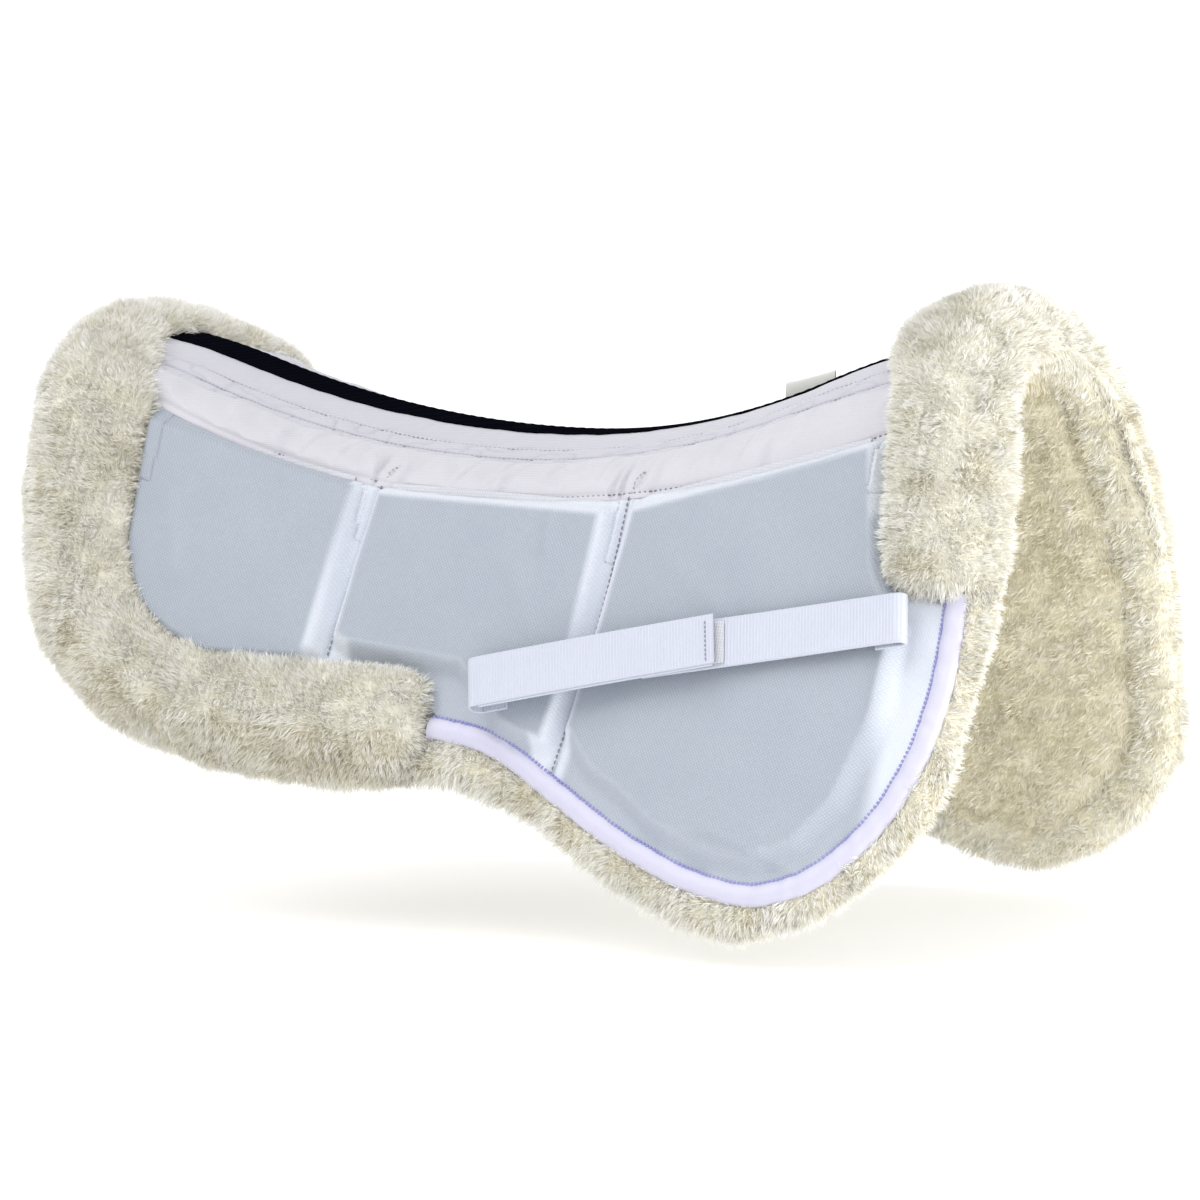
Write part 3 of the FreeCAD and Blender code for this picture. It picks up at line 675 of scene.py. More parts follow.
def lining_places(rows_band=16, rows_low=34, columns=110, start_w=6.0, inset=5.5):
    """(x, w) over the wing, from the channel at the spine out to the wool's skin under the outline."""
    u = np.linspace(0, 1, columns + 1)
    u = 0.5 - 0.5 * np.cos(math.pi * (u * 0.7 + 0.15)) / math.cos(math.pi * 0.15)

    def between(rear_depth, front_depth):
        rear = follow(REAR_EDGE, rear_depth) + inset
        return rear + (follow(FRONT_EDGE, front_depth) - inset - rear) * u

    out = []
    for share in np.linspace(0, 1, rows_band, endpoint=False):
        depth = SPINE_EDGE_DEPTH + share * (HEM_EDGE_DEPTH - SPINE_EDGE_DEPTH)
        x = between(depth, depth)
        out.append(stacked(x, start_w + (hem_w(x) - start_w) * share))
    x_hem = between(HEM_EDGE_DEPTH, HEM_EDGE_DEPTH)
    down = np.linspace(0, 1, rows_low + 1)
    down = np.sin(down * math.pi / 2) * 0.55 + down * 0.45
    for share in down:
        x = between(HEM_EDGE_DEPTH + (LOWER_EDGE[0][1] - HEM_EDGE_DEPTH) * share,
                    HEM_EDGE_DEPTH + (LOWER_EDGE[-1][1] - HEM_EDGE_DEPTH) * share)
        low = follow(LOWER_EDGE, np.clip(x, LOWER_EDGE[0][0], LOWER_EDGE[-1][0])) - inset
        depth = hem_depth(x_hem) + (low - hem_depth(x_hem)) * share
        out.append(stacked(x, to_w(x, depth)))
    return np.array(out)


def edge_distance(points, line):
    """Distance to an open line."""
    loop = np.asarray(line)
    best = np.full(points.shape[:-1], 1e9)
    for a, b in zip(loop, loop[1:]):
        d = b - a
        t = np.clip(((points - a) @ d) / (d @ d + 1e-12), 0, 1)
        best = np.minimum(best, np.linalg.norm(points - a - t[..., None] * d, axis=-1))
    return best


def outward_from(side, x, w):
    """The way out of the wing's surface."""
    return place(side, x, w, 1.0) - place(side, x, w, 0.0)


def make_lining(side_name, side, seed):
    """The lambskin under a wing: its skin, its wool inside and the fringe round its edge."""
    places = lining_places()
    x, w = places[..., 0], places[..., 1]
    edge = edge_distance(places, np.vstack([places[:, -1], places[-1, -2::-1], places[-2::-1, 0]]))
    channel = 1 - smooth((w - 6) / 12)
    bulge = np.sqrt(1 - (1 - np.clip(edge / 11.0, 0, 1)) ** 2)
    centre_n = -WOOL_DEPTH * 0.5 + 1.5
    crease = 2.4 * np.exp(-((edge - 24) / 3.5) ** 2) * smooth((w - 20) / 20)
    inner = place(side, x, w, centre_n - (WOOL_DEPTH * 0.5 - 4.5) * bulge + 5 * channel + crease)
    outer_n = np.where(edge < 32, centre_n + (WOOL_DEPTH * 0.5 - 2.5) * bulge, -0.5)
    outer_n += 3.4 * smooth(edge / 8) * smooth((21 - edge) / 4)
    outer = place(side, x, w, outer_n)
    away = outward_from(side, x, w)
    skin = wool_shell(f"{side_name}_lining_skin", inner, outer, -away, -side, LINING_SHADES, seed)
    inward = surface_normals(inner, -away)
    parts = (("rim", edge < 21, WOOL_SHADES), ("rear", (edge >= 21) & (x < 0), LINING_SHADES),
             ("middle", (edge >= 21) & (x >= 0) & (x < 130), LINING_SHADES),
             ("front", (edge >= 21) & (x >= 130), LINING_SHADES))
    wool = [fibres(f"{side_name}_lining_wool_{part}", inner, inward, 125, 0.0050,
                   0.0004, shades, seed + 1 + k, keep=keep, lock=0.005, swirl=5.0)
            for k, (part, keep, shades) in enumerate(parts)]
    depth = w - hem_w(x) + hem_depth(x)
    piped = [tuple(p) for p in polyline(PIPING_LINE, 60, 1.2)] + [(150, 250), (0, 250)]
    inside_piping = signed_distance(stacked(x, depth), piped)
    fringe = fibres(f"{side_name}_lining_fringe", outer, surface_normals(outer, away), 200,
                    0.0060, 0.00038, WOOL_SHADES, seed + 20,
                    keep=(edge < 23) & (inside_piping < 3), comb=(0, 0, -0.3), clear_of=piped)
    for piece in (skin, fringe, *wool):
        cross_spine(piece)
    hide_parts(f"{side_name}_fleece_lining")


def make_cover(side_name, side):
    """The white base cloth under the pockets, from the spine to under the piping."""
    places = lining_places(inset=27.0, start_w=14.0)
    over = place(side, places[..., 0], places[..., 1], COVER_TOP)
    under = place(side, places[..., 0], places[..., 1], 0.8)
    piece = slab(f"{side_name}_base_cloth", over, under, WHITE_CLOTH, side)
    cross_spine(piece)
    attach(piece, "quilted_cotton", f"{side_name}_cover")


# ------------------------------------------------------------------ rolls
def at(x, depth):
    """A place on the wing by its depth under the apex line."""
    return x, float(to_w(x, depth))


def band(x, share):
    """A place on the band: share 0 at 28 mm from the spine line, 1 at the hem."""
    return x, SPINE_GAP + (float(hem_w(x)) - SPINE_GAP) * share


POMMEL_RAILS = [((192, 0.0), (262, 0.0)), ((193, 14.0), (263, 14.0)), (band(198, 0.1), band(264, 0.1)),
                (band(215, 0.6), band(268, 0.6)), (band(220, 1.0), band(274, 1.0)),
                (at(224, 226), at(279, 224)), (at(227, 250), at(281, 250)), (at(230, 267), at(281, 268)),
                (at(235, 272), at(280, 273))]
CANTLE_RAILS = [((-229, 0.0), (-272, 0.0)), ((-228, 14.0), (-272, 14.0)), (band(-224, 0.1), band(-271, 0.1)),
                (band(-207, 0.7), band(-269, 0.7)), (band(-197, 1.0), band(-268, 1.0)),
                (at(-194, 240), at(-264, 237)), (at(-190, 269), at(-255, 273)),
                (at(-178, 297), at(-239, 314)), (at(-154, 317), at(-198, 350)),
                (at(-124, 323), at(-127, 373)), (at(-60, 325), at(-60, 378)), (at(-14, 326), at(-14, 377)),
                (at(-8, 328), at(-8, 376))]


def make_roll(side_name, side, label, rails, seed, height, spine_part, stations):
    """Half of a roll: its skin goes from the inner rail over the top and round the pad's edge."""
    inner = polyline([r[0] for r in rails], stations)
    outer = polyline([r[1] for r in rails], stations)
    turn = np.linspace(0, 1.17 * math.pi, 35)
    share = 0.5 - 0.5 * np.cos(turn)
    reach = 10 if label == "pommel" else 16
    taper = np.sqrt(1 - (1 - np.clip(np.arange(stations)[::-1] / reach, 0, 1)) ** 2)
    middle = (inner + outer)[:, None] / 2
    places = inner[:, None] + (outer - inner)[:, None] * share[None, :, None]
    places = middle + (places - middle) * (0.8 + 0.2 * taper)[:, None, None]
    base = 3.5 - 11.5 * smooth((share - 0.6) / 0.4) * (turn < math.pi) - 11.5 * (turn >= math.pi)
    up = np.sin(turn)
    lift = np.where(up > 0, np.abs(up) ** 0.72, 0.18 * up)[None] * (0.1 + 0.9 * taper)[:, None]
    grown = spine_part + (1 - spine_part) * smooth(inner[:, 1] / 110)
    n = base + (height - 3.5) * lift * grown[:, None]
    over = place(side, places[..., 0], places[..., 1], n)
    under = place(side, places[..., 0], places[..., 1], np.broadcast_to(base - 0.5, n.shape))
    away = outward_from(side, places[..., 0], places[..., 1])
    flip = side if label == "pommel" else -side
    skin = wool_shell(f"{side_name}_{label}_skin", over, under, away, flip, WOOL_SHADES, seed)
    halves = (slice(0, stations // 2 + 1), slice(stations // 2, stations))
    density, width = ((200, 0.00038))
    # painted light from above, strongest on the cantle roll, whose strands facing down get darker shades
    top_light = 0.3 if label == "pommel" else 1.1
    wool = [fibres(f"{side_name}_{label}_wool_{k}", over[half], surface_normals(over[half], away[half]),
                   density, 0.0055, width, WOOL_SHADES, seed + 30 * k, comb=(0, 0, -0.15), lock=0.0055,
                   top_light=top_light) for k, half in enumerate(halves)]
    for piece in (skin, *wool):
        cross_spine(piece)
    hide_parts(f"{side_name}_{label}_roll", f"{label}_bridge")


# ------------------------------------------------------------------ cloth
REAR_DIVIDER, FRONT_DIVIDER = -57.0, 81.0  # where the seams between the pockets meet the hem
REAR_DIVIDER_FOOT = 325.0
SEAM_HALF = 0.7


def divider_rear(depth):
    return REAR_DIVIDER - (np.asarray(depth, float) - 228) * 0.13


def divider_front(depth):
    return FRONT_DIVIDER - ((np.clip(depth, 214, None) - 214) / 153.0) ** 2 * 13


LOWER_SEAM = [(-200, 236), (-196, 264), (-184, 294), (-160, 316), (-133, 327), (-77, 329), (-14, 336),
              (-2, 346), (8, 353), (26, 357), (55, 369), (74, 380), (113, 401), (151, 417), (164, 423),
              (185, 425), (203, 421), (225, 407), (249, 377), (261, 346), (264, 315), (264, 289), (263, 272)]
LOWER_LINE = polyline(LOWER_SEAM, 160)
SHIM_SHAPES = {
    "rear": [(-192, 204), (-70, 235), (-77, 316), (-82, 321), (-138, 321), (-172, 303), (-190, 274)],
    "middle": [(-53, 237), (71, 242), (67, 330), (62, 356), (50, 354), (38, 348), (10, 320), (-55, 313),
               (-62, 309)],
    "front": [(89, 240), (210, 203), (222, 262), (238, 292), (238, 332), (224, 378), (206, 400), (184, 409),
              (158, 406), (132, 395), (110, 379), (92, 369), (76, 350), (80, 320), (84, 290)],
}


FRONT_DIVIDER_FOOT = float(np.interp(70, LOWER_LINE[60:130, 0], LOWER_LINE[60:130, 1]))


def divider_edge(divider, start_x, foot, shift):
    """A pocket's edge beside the seam between two pockets."""
    depth = np.linspace(hem_depth(start_x), foot, 30)
    return stacked(divider(depth) + shift, depth)


def seam_split(name):
    """Left, lower and right edges of one pocket's cloth as (x, depth)."""
    line = LOWER_LINE
    rear_x, front_x = divider_rear(REAR_DIVIDER_FOOT), divider_front(FRONT_DIVIDER_FOOT)
    rear = (divider_rear, REAR_DIVIDER, REAR_DIVIDER_FOOT)
    front = (divider_front, FRONT_DIVIDER, FRONT_DIVIDER_FOOT)
    if name == "rear":
        cut = np.vstack([line[line[:, 0] < rear_x], (rear_x + SEAM_HALF, REAR_DIVIDER_FOOT)])
        corner = 30
        left = np.vstack([(-202, float(hem_depth(-202))), cut[:corner]])
        return left, cut[corner - 1:], divider_edge(*rear, SEAM_HALF)
    if name == "middle":
        cut = line[(line[:, 0] > rear_x) & (line[:, 0] < front_x) & (line[:, 1] > 300)]
        low = np.vstack([(rear_x - SEAM_HALF, REAR_DIVIDER_FOOT), cut,
                         (front_x + SEAM_HALF, FRONT_DIVIDER_FOOT)])
        return divider_edge(*rear, -SEAM_HALF), low, divider_edge(*front, SEAM_HALF)
    cut = line[(line[:, 0] > front_x) & (line[:, 1] > 276)]
    turn = int(len(cut) * 0.66)
    low = np.vstack([(front_x - SEAM_HALF, FRONT_DIVIDER_FOOT), cut[:turn]])
    rise = cut[turn - 1:][::-1]
    right = np.vstack([(228, float(hem_depth(228))), (230, 230), (234, 262), (252, 272), rise])
    return divider_edge(*front, -SEAM_HALF), low, right


def resample(points, shares):
    """Points at these shares of a line's length."""
    run = run_along(points)
    return sampled(shares * run[-1], run, points)


def pocket_places(name, rows, columns):
    """A grid of (x, depth) over one pocket's cloth, and its four edges."""
    left, low, right = seam_split(name)
    v = np.linspace(0, 1, rows)
    u = np.linspace(0, 1, columns)
    top_x = left[0, 0] + (right[0, 0] - left[0, 0]) * u
    top = stacked(top_x, hem_depth(top_x) - 1.2)
    a, b = resample(left, v)[:, None], resample(right, v)[:, None]
    c, d = top[None], resample(low, u)[None]
    uu, vv = u[None, :, None], v[:, None, None]
    blend_edges = (1 - uu) * a + uu * b + (1 - vv) * c + vv * d
    corners = ((1 - uu) * (1 - vv) * top[0] + uu * (1 - vv) * top[-1]
               + (1 - uu) * vv * low[0] + uu * vv * low[-1])
    return blend_edges - corners, (left, top, low, right)


MOUTHS = {"rear": ((-184, 204), (-66, 227)), "middle": ((-58, 228), (76, 233)),
          "front": ((84, 231), (213, 193))}


def below_mouth(places, name):
    """How far down from the chord of the pocket's mouth."""
    (x0, d0), (x1, d1) = MOUTHS[name]
    return places[..., 1] - (d0 + (d1 - d0) * (places[..., 0] - x0) / (x1 - x0))


def cloth_height(places, name, borders, seed):
    """Height of a pocket's cloth: low at its seams, raised by the shim, puckered beside the stitches."""
    x, depth = places[..., 0], places[..., 1]
    from_left, from_top, from_low, from_right = (edge_distance(places, border) for border in borders)
    from_side = np.minimum(from_left, from_right)
    inside = signed_distance(places, SHIM_SHAPES[name])
    rise = smooth((inside + 8.0) / 9.5)
    wide = noise(places, 60, seed) * 0.9 + noise(places, 24, seed + 1) * 0.45
    wide += noise(places * (1.0, 0.55) + places[..., ::-1] * (0.4, 0.0), 13, seed + 8) * 0.22
    height = 4.0 + 2.0 * smooth(from_top / 3.5) * smooth(from_side / 3) * (1 - rise) + 10.5 * rise
    height += rise * (wide + 1.0 * smooth(inside / 40))
    height = 4.0 + (height - 4.0) * smooth(from_side / 3.6)
    down = below_mouth(places, name)
    lip = 6.9 + 7.4 * np.clip(down / LIP_LENGTH, 0, 1)
    (mouth_start, _), (mouth_stop, _) = MOUTHS[name]
    within = smooth((x - mouth_start) / 6) * smooth((mouth_stop - x) / 6)
    within = within * smooth((down + 1) / 3) * smooth((LIP_LENGTH + 12 - down) / 10)
    height = np.maximum(height, lip * within)
    pull = depth / 4.6 + noise(places, 14, seed + 2) * 2.2
    height += np.sin(pull) * 0.45 * np.exp(-from_side / 5.0) * smooth(from_side / 2.0)
    pull = x / 3.8 + noise(places, 11, seed + 3) * 2.5
    height += np.sin(pull) * 0.5 * np.exp(-from_top / 6.0) * smooth(from_top / 1.5)
    height += np.sin(pull * 0.9) * 0.4 * np.exp(-from_low / 7.0) * smooth(from_low / 2.0)
    height += (1 - rise) * noise(places * (1.0, 0.45), 9, seed + 5) * 0.45
    folds = {"middle": [((44, 240), (0.05, 1), 34, 1.5, 3.2), ((20, 262), (0.55, 0.83), 60, 0.8, 5.0)],
             "rear": [((-176, 236), (0.35, 0.94), 60, 0.7, 5.0)],
             "front": [((236, 282), (0.02, 1), 70, 1.2, 3.0), ((110, 262), (0.8, 0.6), 60, 0.7, 6.0)]}
    for origin, way, long, high, wide_by in folds[name]:
        offset = places - np.array(origin, float)
        reach, across = offset @ np.array(way), offset @ np.array((-way[1], way[0]))
        bend = across + 1.5 * np.sin(reach / 14)
        height += high * smooth(reach / 10) * smooth((long - reach) / 14) * np.exp(-(bend / wide_by) ** 2)
    if name == "front":
        start, way = np.array((148.0, 394.0)), np.array((0.956, 0.292))
        across = (places - start) @ np.array((-way[1], way[0]))
        reach = (places - start) @ way
        fade = smooth(reach / 20) * smooth((92 - reach) / 20)
        height += fade * (1.1 * np.exp(-(across / 1.8) ** 2) - 0.7 * np.exp(-((across - 4) / 3) ** 2))
    tint = smooth((inside + (4.5 if name == "rear" else 1.5)) / 4.0)
    if name == "rear":
        far_below = (from_low < from_side) & (from_right > 14)
        tint = np.where((from_left < from_right) | far_below, 1.0, tint)
        tint = tint * smooth((from_left - 0.5) / 4) * smooth((from_right - 9) / 5)
        tint = np.maximum(tint, smooth((from_side - 14) / 3) * smooth((10 - down) / 2))
    elif name == "middle":
        tint = np.maximum(tint, 0.8 * smooth((from_side - 12) / 5) * smooth((down - 40) / 10))
    else:
        tint = np.maximum(tint, 0.85 * smooth((from_left - 5) / 5) * smooth((246 - x) / 12)
                          * smooth((down - 40) / 10))
    return height, tint


def set_tone(piece, tone):
    """Where the piece's material shows its second pair of colours, from 0 to 1."""
    field = piece.data.attributes.new("tone", "FLOAT", "POINT")
    field.data.foreach_set("value", np.clip(tone, 0, 1).astype(np.float32))


def make_pocket(side_name, side, name, seed):
    """One pocket's cloth and its two upper corners, which stay with the wing."""
    places, borders = pocket_places(name, 96, 120 if name == "front" else 90)
    x, depth = places[..., 0], places[..., 1]
    n, tint = cloth_height(places, name, borders, seed)
    w = to_w(x, depth)
    over = place(side, x, w, n)
    under = place(side, x, w, n - 1.1)
    (x0, depth0), (x1, depth1) = MOUTHS[name]
    cell_x = (x[:-1, :-1] + x[1:, 1:]) / 2
    corner = below_mouth(places, name)[:-1, :-1] < LIP_LENGTH + 3
    corner &= (cell_x < x0) | (cell_x > x1)
    label = f"{side_name}_pocket_cloth_{name}"
    piece, used = cut_slab(label, over, under, ~corner, PANEL, side)
    set_tone(piece, np.tile(tint.ravel(), 2)[used])
    corners, used = cut_slab(label + "_corners", over, under, corner, PANEL, side)
    set_tone(corners, np.tile(tint.ravel(), 2)[used])
    attach(corners, "quilted_cotton", body=f"{side_name}_wing")
    middle_x, middle_depth = (x0 + x1) / 2, (depth0 + depth1) / 2 + LIP_LENGTH
    slope = (depth1 - depth0) / (x1 - x0)
    start = on_plane(side, middle_x - 3 * slope, middle_depth + 3, HINGE_HEIGHT)
    end = on_plane(side, middle_x + 4 * slope, middle_depth - 4, HINGE_HEIGHT)
    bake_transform(piece)
    attach(piece, "quilted_cotton", f"{side_name}_pocket_{name}", f"{side_name}_lip_{name}")


def creases(places, size, seed, thin=0.13):
    """Thin branching lines, 1 on a crease."""
    return np.exp(-(noise(places, size, seed) / thin) ** 2)


STRIP_SEAMS = (0.0, 0.55, 0.79, 1.0)
STRIP_START, STRIP_SHARE = 12.0, 0.6  # the strip's edges, the second as a share of the band
BAND_TOP = 4.5  # just under the way of the shims
STITCH_INSET = 2.9  # mm from the hem to its row of stitches
GATHERS = ((-63.0, 1.8, 1.4), (-49.0, 1.0, 2.0), (70.0, 1.6, 1.5), (75.0, 2.2, 1.4), (92.0, 0.9, 2.2),
           (-120.0, 0.8, 2.4), (8.0, 0.9, 2.2), (150.0, 0.9, 2.6))


def band_edge(x, seed):
    """The wavy upper edge of the mouth band, mm from the spine line."""
    wave = noise(stacked(x, x * 0), 34, seed + 9) * 3.4 + np.sin(x / 41) * 1.0
    return SPINE_GAP + (hem_w(x) - SPINE_GAP) * 0.54 + wave


def make_cover_top(side_name, side, seed):
    """The white strip beside the spine, quilted in three rows, and the gathered band over the mouths."""
    x = np.linspace(-226, 224, 560)
    for label in ("spine_strip", "mouth_band"):
        share = np.linspace(0, 1, 72)[:, None]
        if label == "spine_strip":
            start = np.full(x.shape, STRIP_START)
            stop = SPINE_GAP + (hem_w(x) - SPINE_GAP) * STRIP_SHARE
        else:
            start, stop = band_edge(x, seed), hem_w(x)
        w = start[None] + (stop - start)[None] * share
        xx = np.broadcast_to(x, w.shape)
        where = stacked(xx, w)
        if label == "spine_strip":
            n = 3.2 + 0 * xx
            tone = 0.28 + 0 * xx
            rows = list(zip(STRIP_SEAMS, STRIP_SEAMS[1:], (1.1, 2.0, 2.0)))
            for row, (start_s, stop_s, puff) in enumerate(rows):
                t = np.clip((share - start_s) / (stop_s - start_s), 0, 1)
                tuck = np.abs(np.sin(xx / (6.5 - row) + noise(where, 18, seed + 11 + row) * 3.0))
                n = n + puff * np.sin(t * math.pi) ** (0.55 if row else 1.2) * (0.62 + 0.38 * tuck ** 0.4)
                if row:
                    # painted shade along the seam between two quilted rows
                    tone = tone + 0.75 * np.exp(-((share - start_s) * (stop - start) / 0.9) ** 2)
            pattern = creases(where * (0.6, 1.0), 6.5, seed + 21) * smooth((share - 0.42) / 0.1)
            n = n + noise(where, 9, seed + 1) * 0.3 - pattern * 0.55
            # painted shade in the embossed creases
            tone = tone + pattern * 0.3
        else:
            arch = np.sin(share * math.pi)
            gather = np.sin(xx / 3.6 + noise(where, 10, seed + 3) * 3.0)
            loose = noise(where * (1.0, 0.35), 8, seed + 4)
            loose = loose + noise(where * (1.0, 0.6), 17, seed + 5)
            lines = creases(where * (1.0, 0.3) + where[..., ::-1] * (0.2, 0), 15, seed + 6, 0.16)
            n = 5.8 - 0.6 * share + 1.9 * arch ** 0.7
            n = n + (gather * 0.4 + loose * 1.5 - lines * 0.8) * arch ** 0.5
            n = n + 0.5 * smooth((share - 0.9) / 0.1) - 0.7 * smooth(1 - share / 0.04)
            # painted shade in the creases and along the band's tucked upper edge
            tone = lines * 0.08 * arch + 0.5 * np.exp(-(share / 0.03) ** 2)
            # the band stays under the way of the shims, and its stitches lie in a groove
            groove = 0.65 * np.exp(-((w - hem_w(xx) + STITCH_INSET) / 1.3) ** 2)
            n = np.minimum(n, BAND_TOP - groove - over_plane(place(side, xx, w, 0.0)))
            for fold_x, deep, wide in GATHERS:
                shape = np.exp(-((xx - fold_x - 2.0 * (1 - share)) / wide) ** 2)
                shape = shape * smooth((share - 0.15) / 0.5)
                n = n - deep * shape * smooth((1.05 - share) / 0.2)
                # painted shade in each gather, deeper where the fold is deeper
                tone = tone + shape * deep * 0.25
            n = np.maximum(n, 3.4)
        over = place(side, xx, w, n)
        under = place(side, xx, w, np.maximum(n - 1.2, 1.9 if label == "spine_strip" else 3.05))
        piece = slab(f"{side_name}_{label}_cloth", over, under, WHITE_CLOTH, side)
        set_tone(piece, np.tile(tone.ravel(), 2))
        if label == "spine_strip":
            cross_spine(piece)
        attach(piece, "white_cotton", f"{side_name}_{label}",
               body=f"{side_name}_wing" if label == "mouth_band" else None)


def stitches(name, path, ups, material_used, spacing=2.6, length=1.9, radius=0.32):
    """Separate thread stitches along points in metres."""
    path = np.asarray(path, float)
    run = run_along(path) / MM
    count = max(1, int(run[-1] / spacing))
    verts, faces = [], []
    sides = 5
    for k in range(count):
        keys = np.linspace(k * spacing + 0.2, k * spacing + 0.2 + length, 5)
        line, up = sampled(keys, run, path), sampled(keys, run, ups)
        arch = np.array([-0.25, 0.75, 1.0, 0.75, -0.25])[:, None] * radius * MM
        line = line + up * arch
        ahead = line[-1] - line[0]
        ahead /= np.linalg.norm(ahead) + 1e-12
        across = np.cross(ahead, up[2])
        turn = np.linspace(0, 2 * math.pi, sides, endpoint=False)
        thick = np.array([0.5, 1, 1, 1, 0.5]) * radius * MM
        ring = (across[None] * np.cos(turn)[:, None] + up[2][None] * np.sin(turn)[:, None])
        verts.append((line[:, None] + ring[None] * thick[:, None, None]).reshape(-1, 3))
        faces.append(grid_faces(5, sides, k * 5 * sides, wrap=True))
    return new_mesh(name, np.concatenate(verts), [np.concatenate(faces)], material_used)


def seam_path(side, places_xw, n):
    """A line of stitches over a wing and the way up beside it."""
    line = place(side, places_xw[:, 0], places_xw[:, 1], n)
    above = place(side, places_xw[:, 0], places_xw[:, 1], n + 1)
    ups = (above - line) / MM
    return line, ups


def make_stitching(side_name, side):
    """The rows of thread in a wing's white and grey-blue cloth."""
    x = np.linspace(-190, 224, 260)
    rows = {"hem_stitches": (stacked(x, hem_w(x) - STITCH_INSET), 3.7, GREY_THREAD, 2.8)}
    for label, divider, top_x, foot, count in (("rear", divider_rear, REAR_DIVIDER, 322, 80),
                                               ("front", divider_front, FRONT_DIVIDER, 374, 110)):
        depth = np.linspace(hem_depth(top_x) - 1, foot, count)
        line = stacked(divider(depth), to_w(divider(depth), depth))
        rows[f"{label}_divider_stitches"] = (line, 5.0, GREY_THREAD, 3.0)
    for label, share in (("row_one", STRIP_SEAMS[1]), ("row_two", STRIP_SEAMS[2])):
        stop = SPINE_GAP + (hem_w(x) - SPINE_GAP) * STRIP_SHARE
        line = stacked(x, STRIP_START + (stop - STRIP_START) * share)
        rows[f"strip_stitches_{label}"] = (line, 3.3, PALE_THREAD, 2.6)
    for label, foot in (("rear", REAR_DIVIDER), ("front", FRONT_DIVIDER)):
        up = np.linspace(0, 1, 30)
        lean = foot + 4.5 * up
        height = 3.7 + (5.4 + 1.7 * np.sin(up * math.pi) ** 0.7 - 3.7) * smooth(up / 0.5)
        line = stacked(lean, hem_w(lean) - 2 - 13 * up)
        rows[f"{label}_band_stitches"] = (line, height, PALE_THREAD, 2.6)
    for label, (places, height, thread, spacing) in rows.items():
        line, ups = seam_path(side, places, height)
        piece = stitches(f"{side_name}_{label}", line, ups, thread, spacing, spacing * 0.66, 0.42)
        attach(piece, "white_cotton", body=f"{side_name}_wing")


PIPING_LINE = [(-4, 352), (14, 354), (32, 358), (54, 370), (74, 382), (112, 404), (150, 420), (186, 427),
               (214, 418), (234, 401), (250, 380), (262, 350), (267, 317), (267, 290), (266, 272)]


def make_piping(side_name, side, seed):
    """The satin binding round the front flap and its lavender thread."""
    line = polyline(PIPING_LINE, 420, 1.2)
    inward = np.gradient(line, axis=0)
    inward = np.stack([inward[:, 1], -inward[:, 0]], -1)
    inward /= np.linalg.norm(inward, axis=1, keepdims=True)
    turn = np.linspace(0, 2 * math.pi, 26, endpoint=False)
    run = np.linspace(0, 1, len(line)) * 460
    twist = np.sin(run[:, None] / 2.6 + turn[None] * 1.3 + noise(line, 12, seed)[:, None] * 3) * 0.16
    radius_a = 5.6 + twist
    radius_n = 3.6 + twist
    place_w = line[:, None] + inward[:, None] * (np.cos(turn)[None] * radius_a)[..., None]
    n = 4.4 + np.sin(turn)[None] * radius_n
    points = place(side, place_w[..., 0], to_w(place_w[..., 0], place_w[..., 1]), n)
    faces = grid_faces(len(line), len(turn), wrap=True)
    piece = new_mesh(f"{side_name}_satin_piping", points.reshape(-1, 3),
                     [faces if side > 0 else faces[:, ::-1]], SATIN)
    attach(piece, "satin_piping", f"{side_name}_piping", body=f"{side_name}_wing")
    seam = line + inward * 5.2
    path, ups = seam_path(side, np.stack([seam[:, 0], to_w(seam[:, 0], seam[:, 1])], -1), 5.0)
    thread = stitches(f"{side_name}_piping_stitches", path, ups, LAVENDER, 2.3, 2.28, 1.05)
    attach(thread, "satin_piping", body=f"{side_name}_wing")


# ------------------------------------------------------------------ spine
def make_spine():
    """The black tape, and the web under it that joins the wings."""
    x = np.linspace(-232, 200, 400)
    y = np.linspace(-16, 16, 33)
    xx, yy = np.meshgrid(x, y, indexing="ij")
    crown = 0.5 * np.cos(yy / 16 * math.pi / 2)
    z = spine_height(xx) + 4.4 + crown + 0.12 * np.sin(xx * 1.1)
    over = stacked(xx, yy, z) * MM
    under = stacked(xx, yy, z - 1.2) * MM
    tape = slab("spine_tape_cloth", over, under, TAPE_BLACK, 1)
    attach(tape, "black_webbing", "spine_tape", body="spine")
    x = np.linspace(-258, 252, 300)
    xx, yy = np.meshgrid(x, np.linspace(-13.5, 13.5, 19), indexing="ij")
    soft = noise(stacked(xx, yy), 9, 71) * 0.35
    over = stacked(xx, yy, spine_height(xx) + 3.0 + 0 * yy) * MM
    under = stacked(xx, yy, spine_height(xx) - 0.6 + soft + 0.9 * (yy / 13.5) ** 2) * MM
    web = slab("spine_web_cloth", over, under, WHITE_CLOTH, 1)
    attach(web, "quilted_cotton", "spine_web", body="spine")


# ------------------------------------------------------------------ straps
STRAPS = {"front": (247.0, 289.0, 180 + 10.6, 136.0, 20.5), "rear": (24.0, 334.5, 12.6, 132.0, 25.2)}


def strap_points(side, label, along, across, n):
    """Points of a strap in metres, by its own length and width."""
    x0, depth0, turn, _, _ = STRAPS[label]
    c, s = math.cos(math.radians(turn)), math.sin(math.radians(turn))
    x = x0 + along * c - across * s
    depth = depth0 - (along * s + across * c)
    return on_plane(side, x, depth, n)


def ribbed(along, across):
    """Bars across the webbing and its woven edges."""
    edge = np.abs(across) > 11.3
    bars = 0.2 * np.sin(along * 2 * math.pi / 1.7) * ~edge
    return bars + edge * (0.12 + 0.12 * np.sin(along * 2 * math.pi / 1.1))


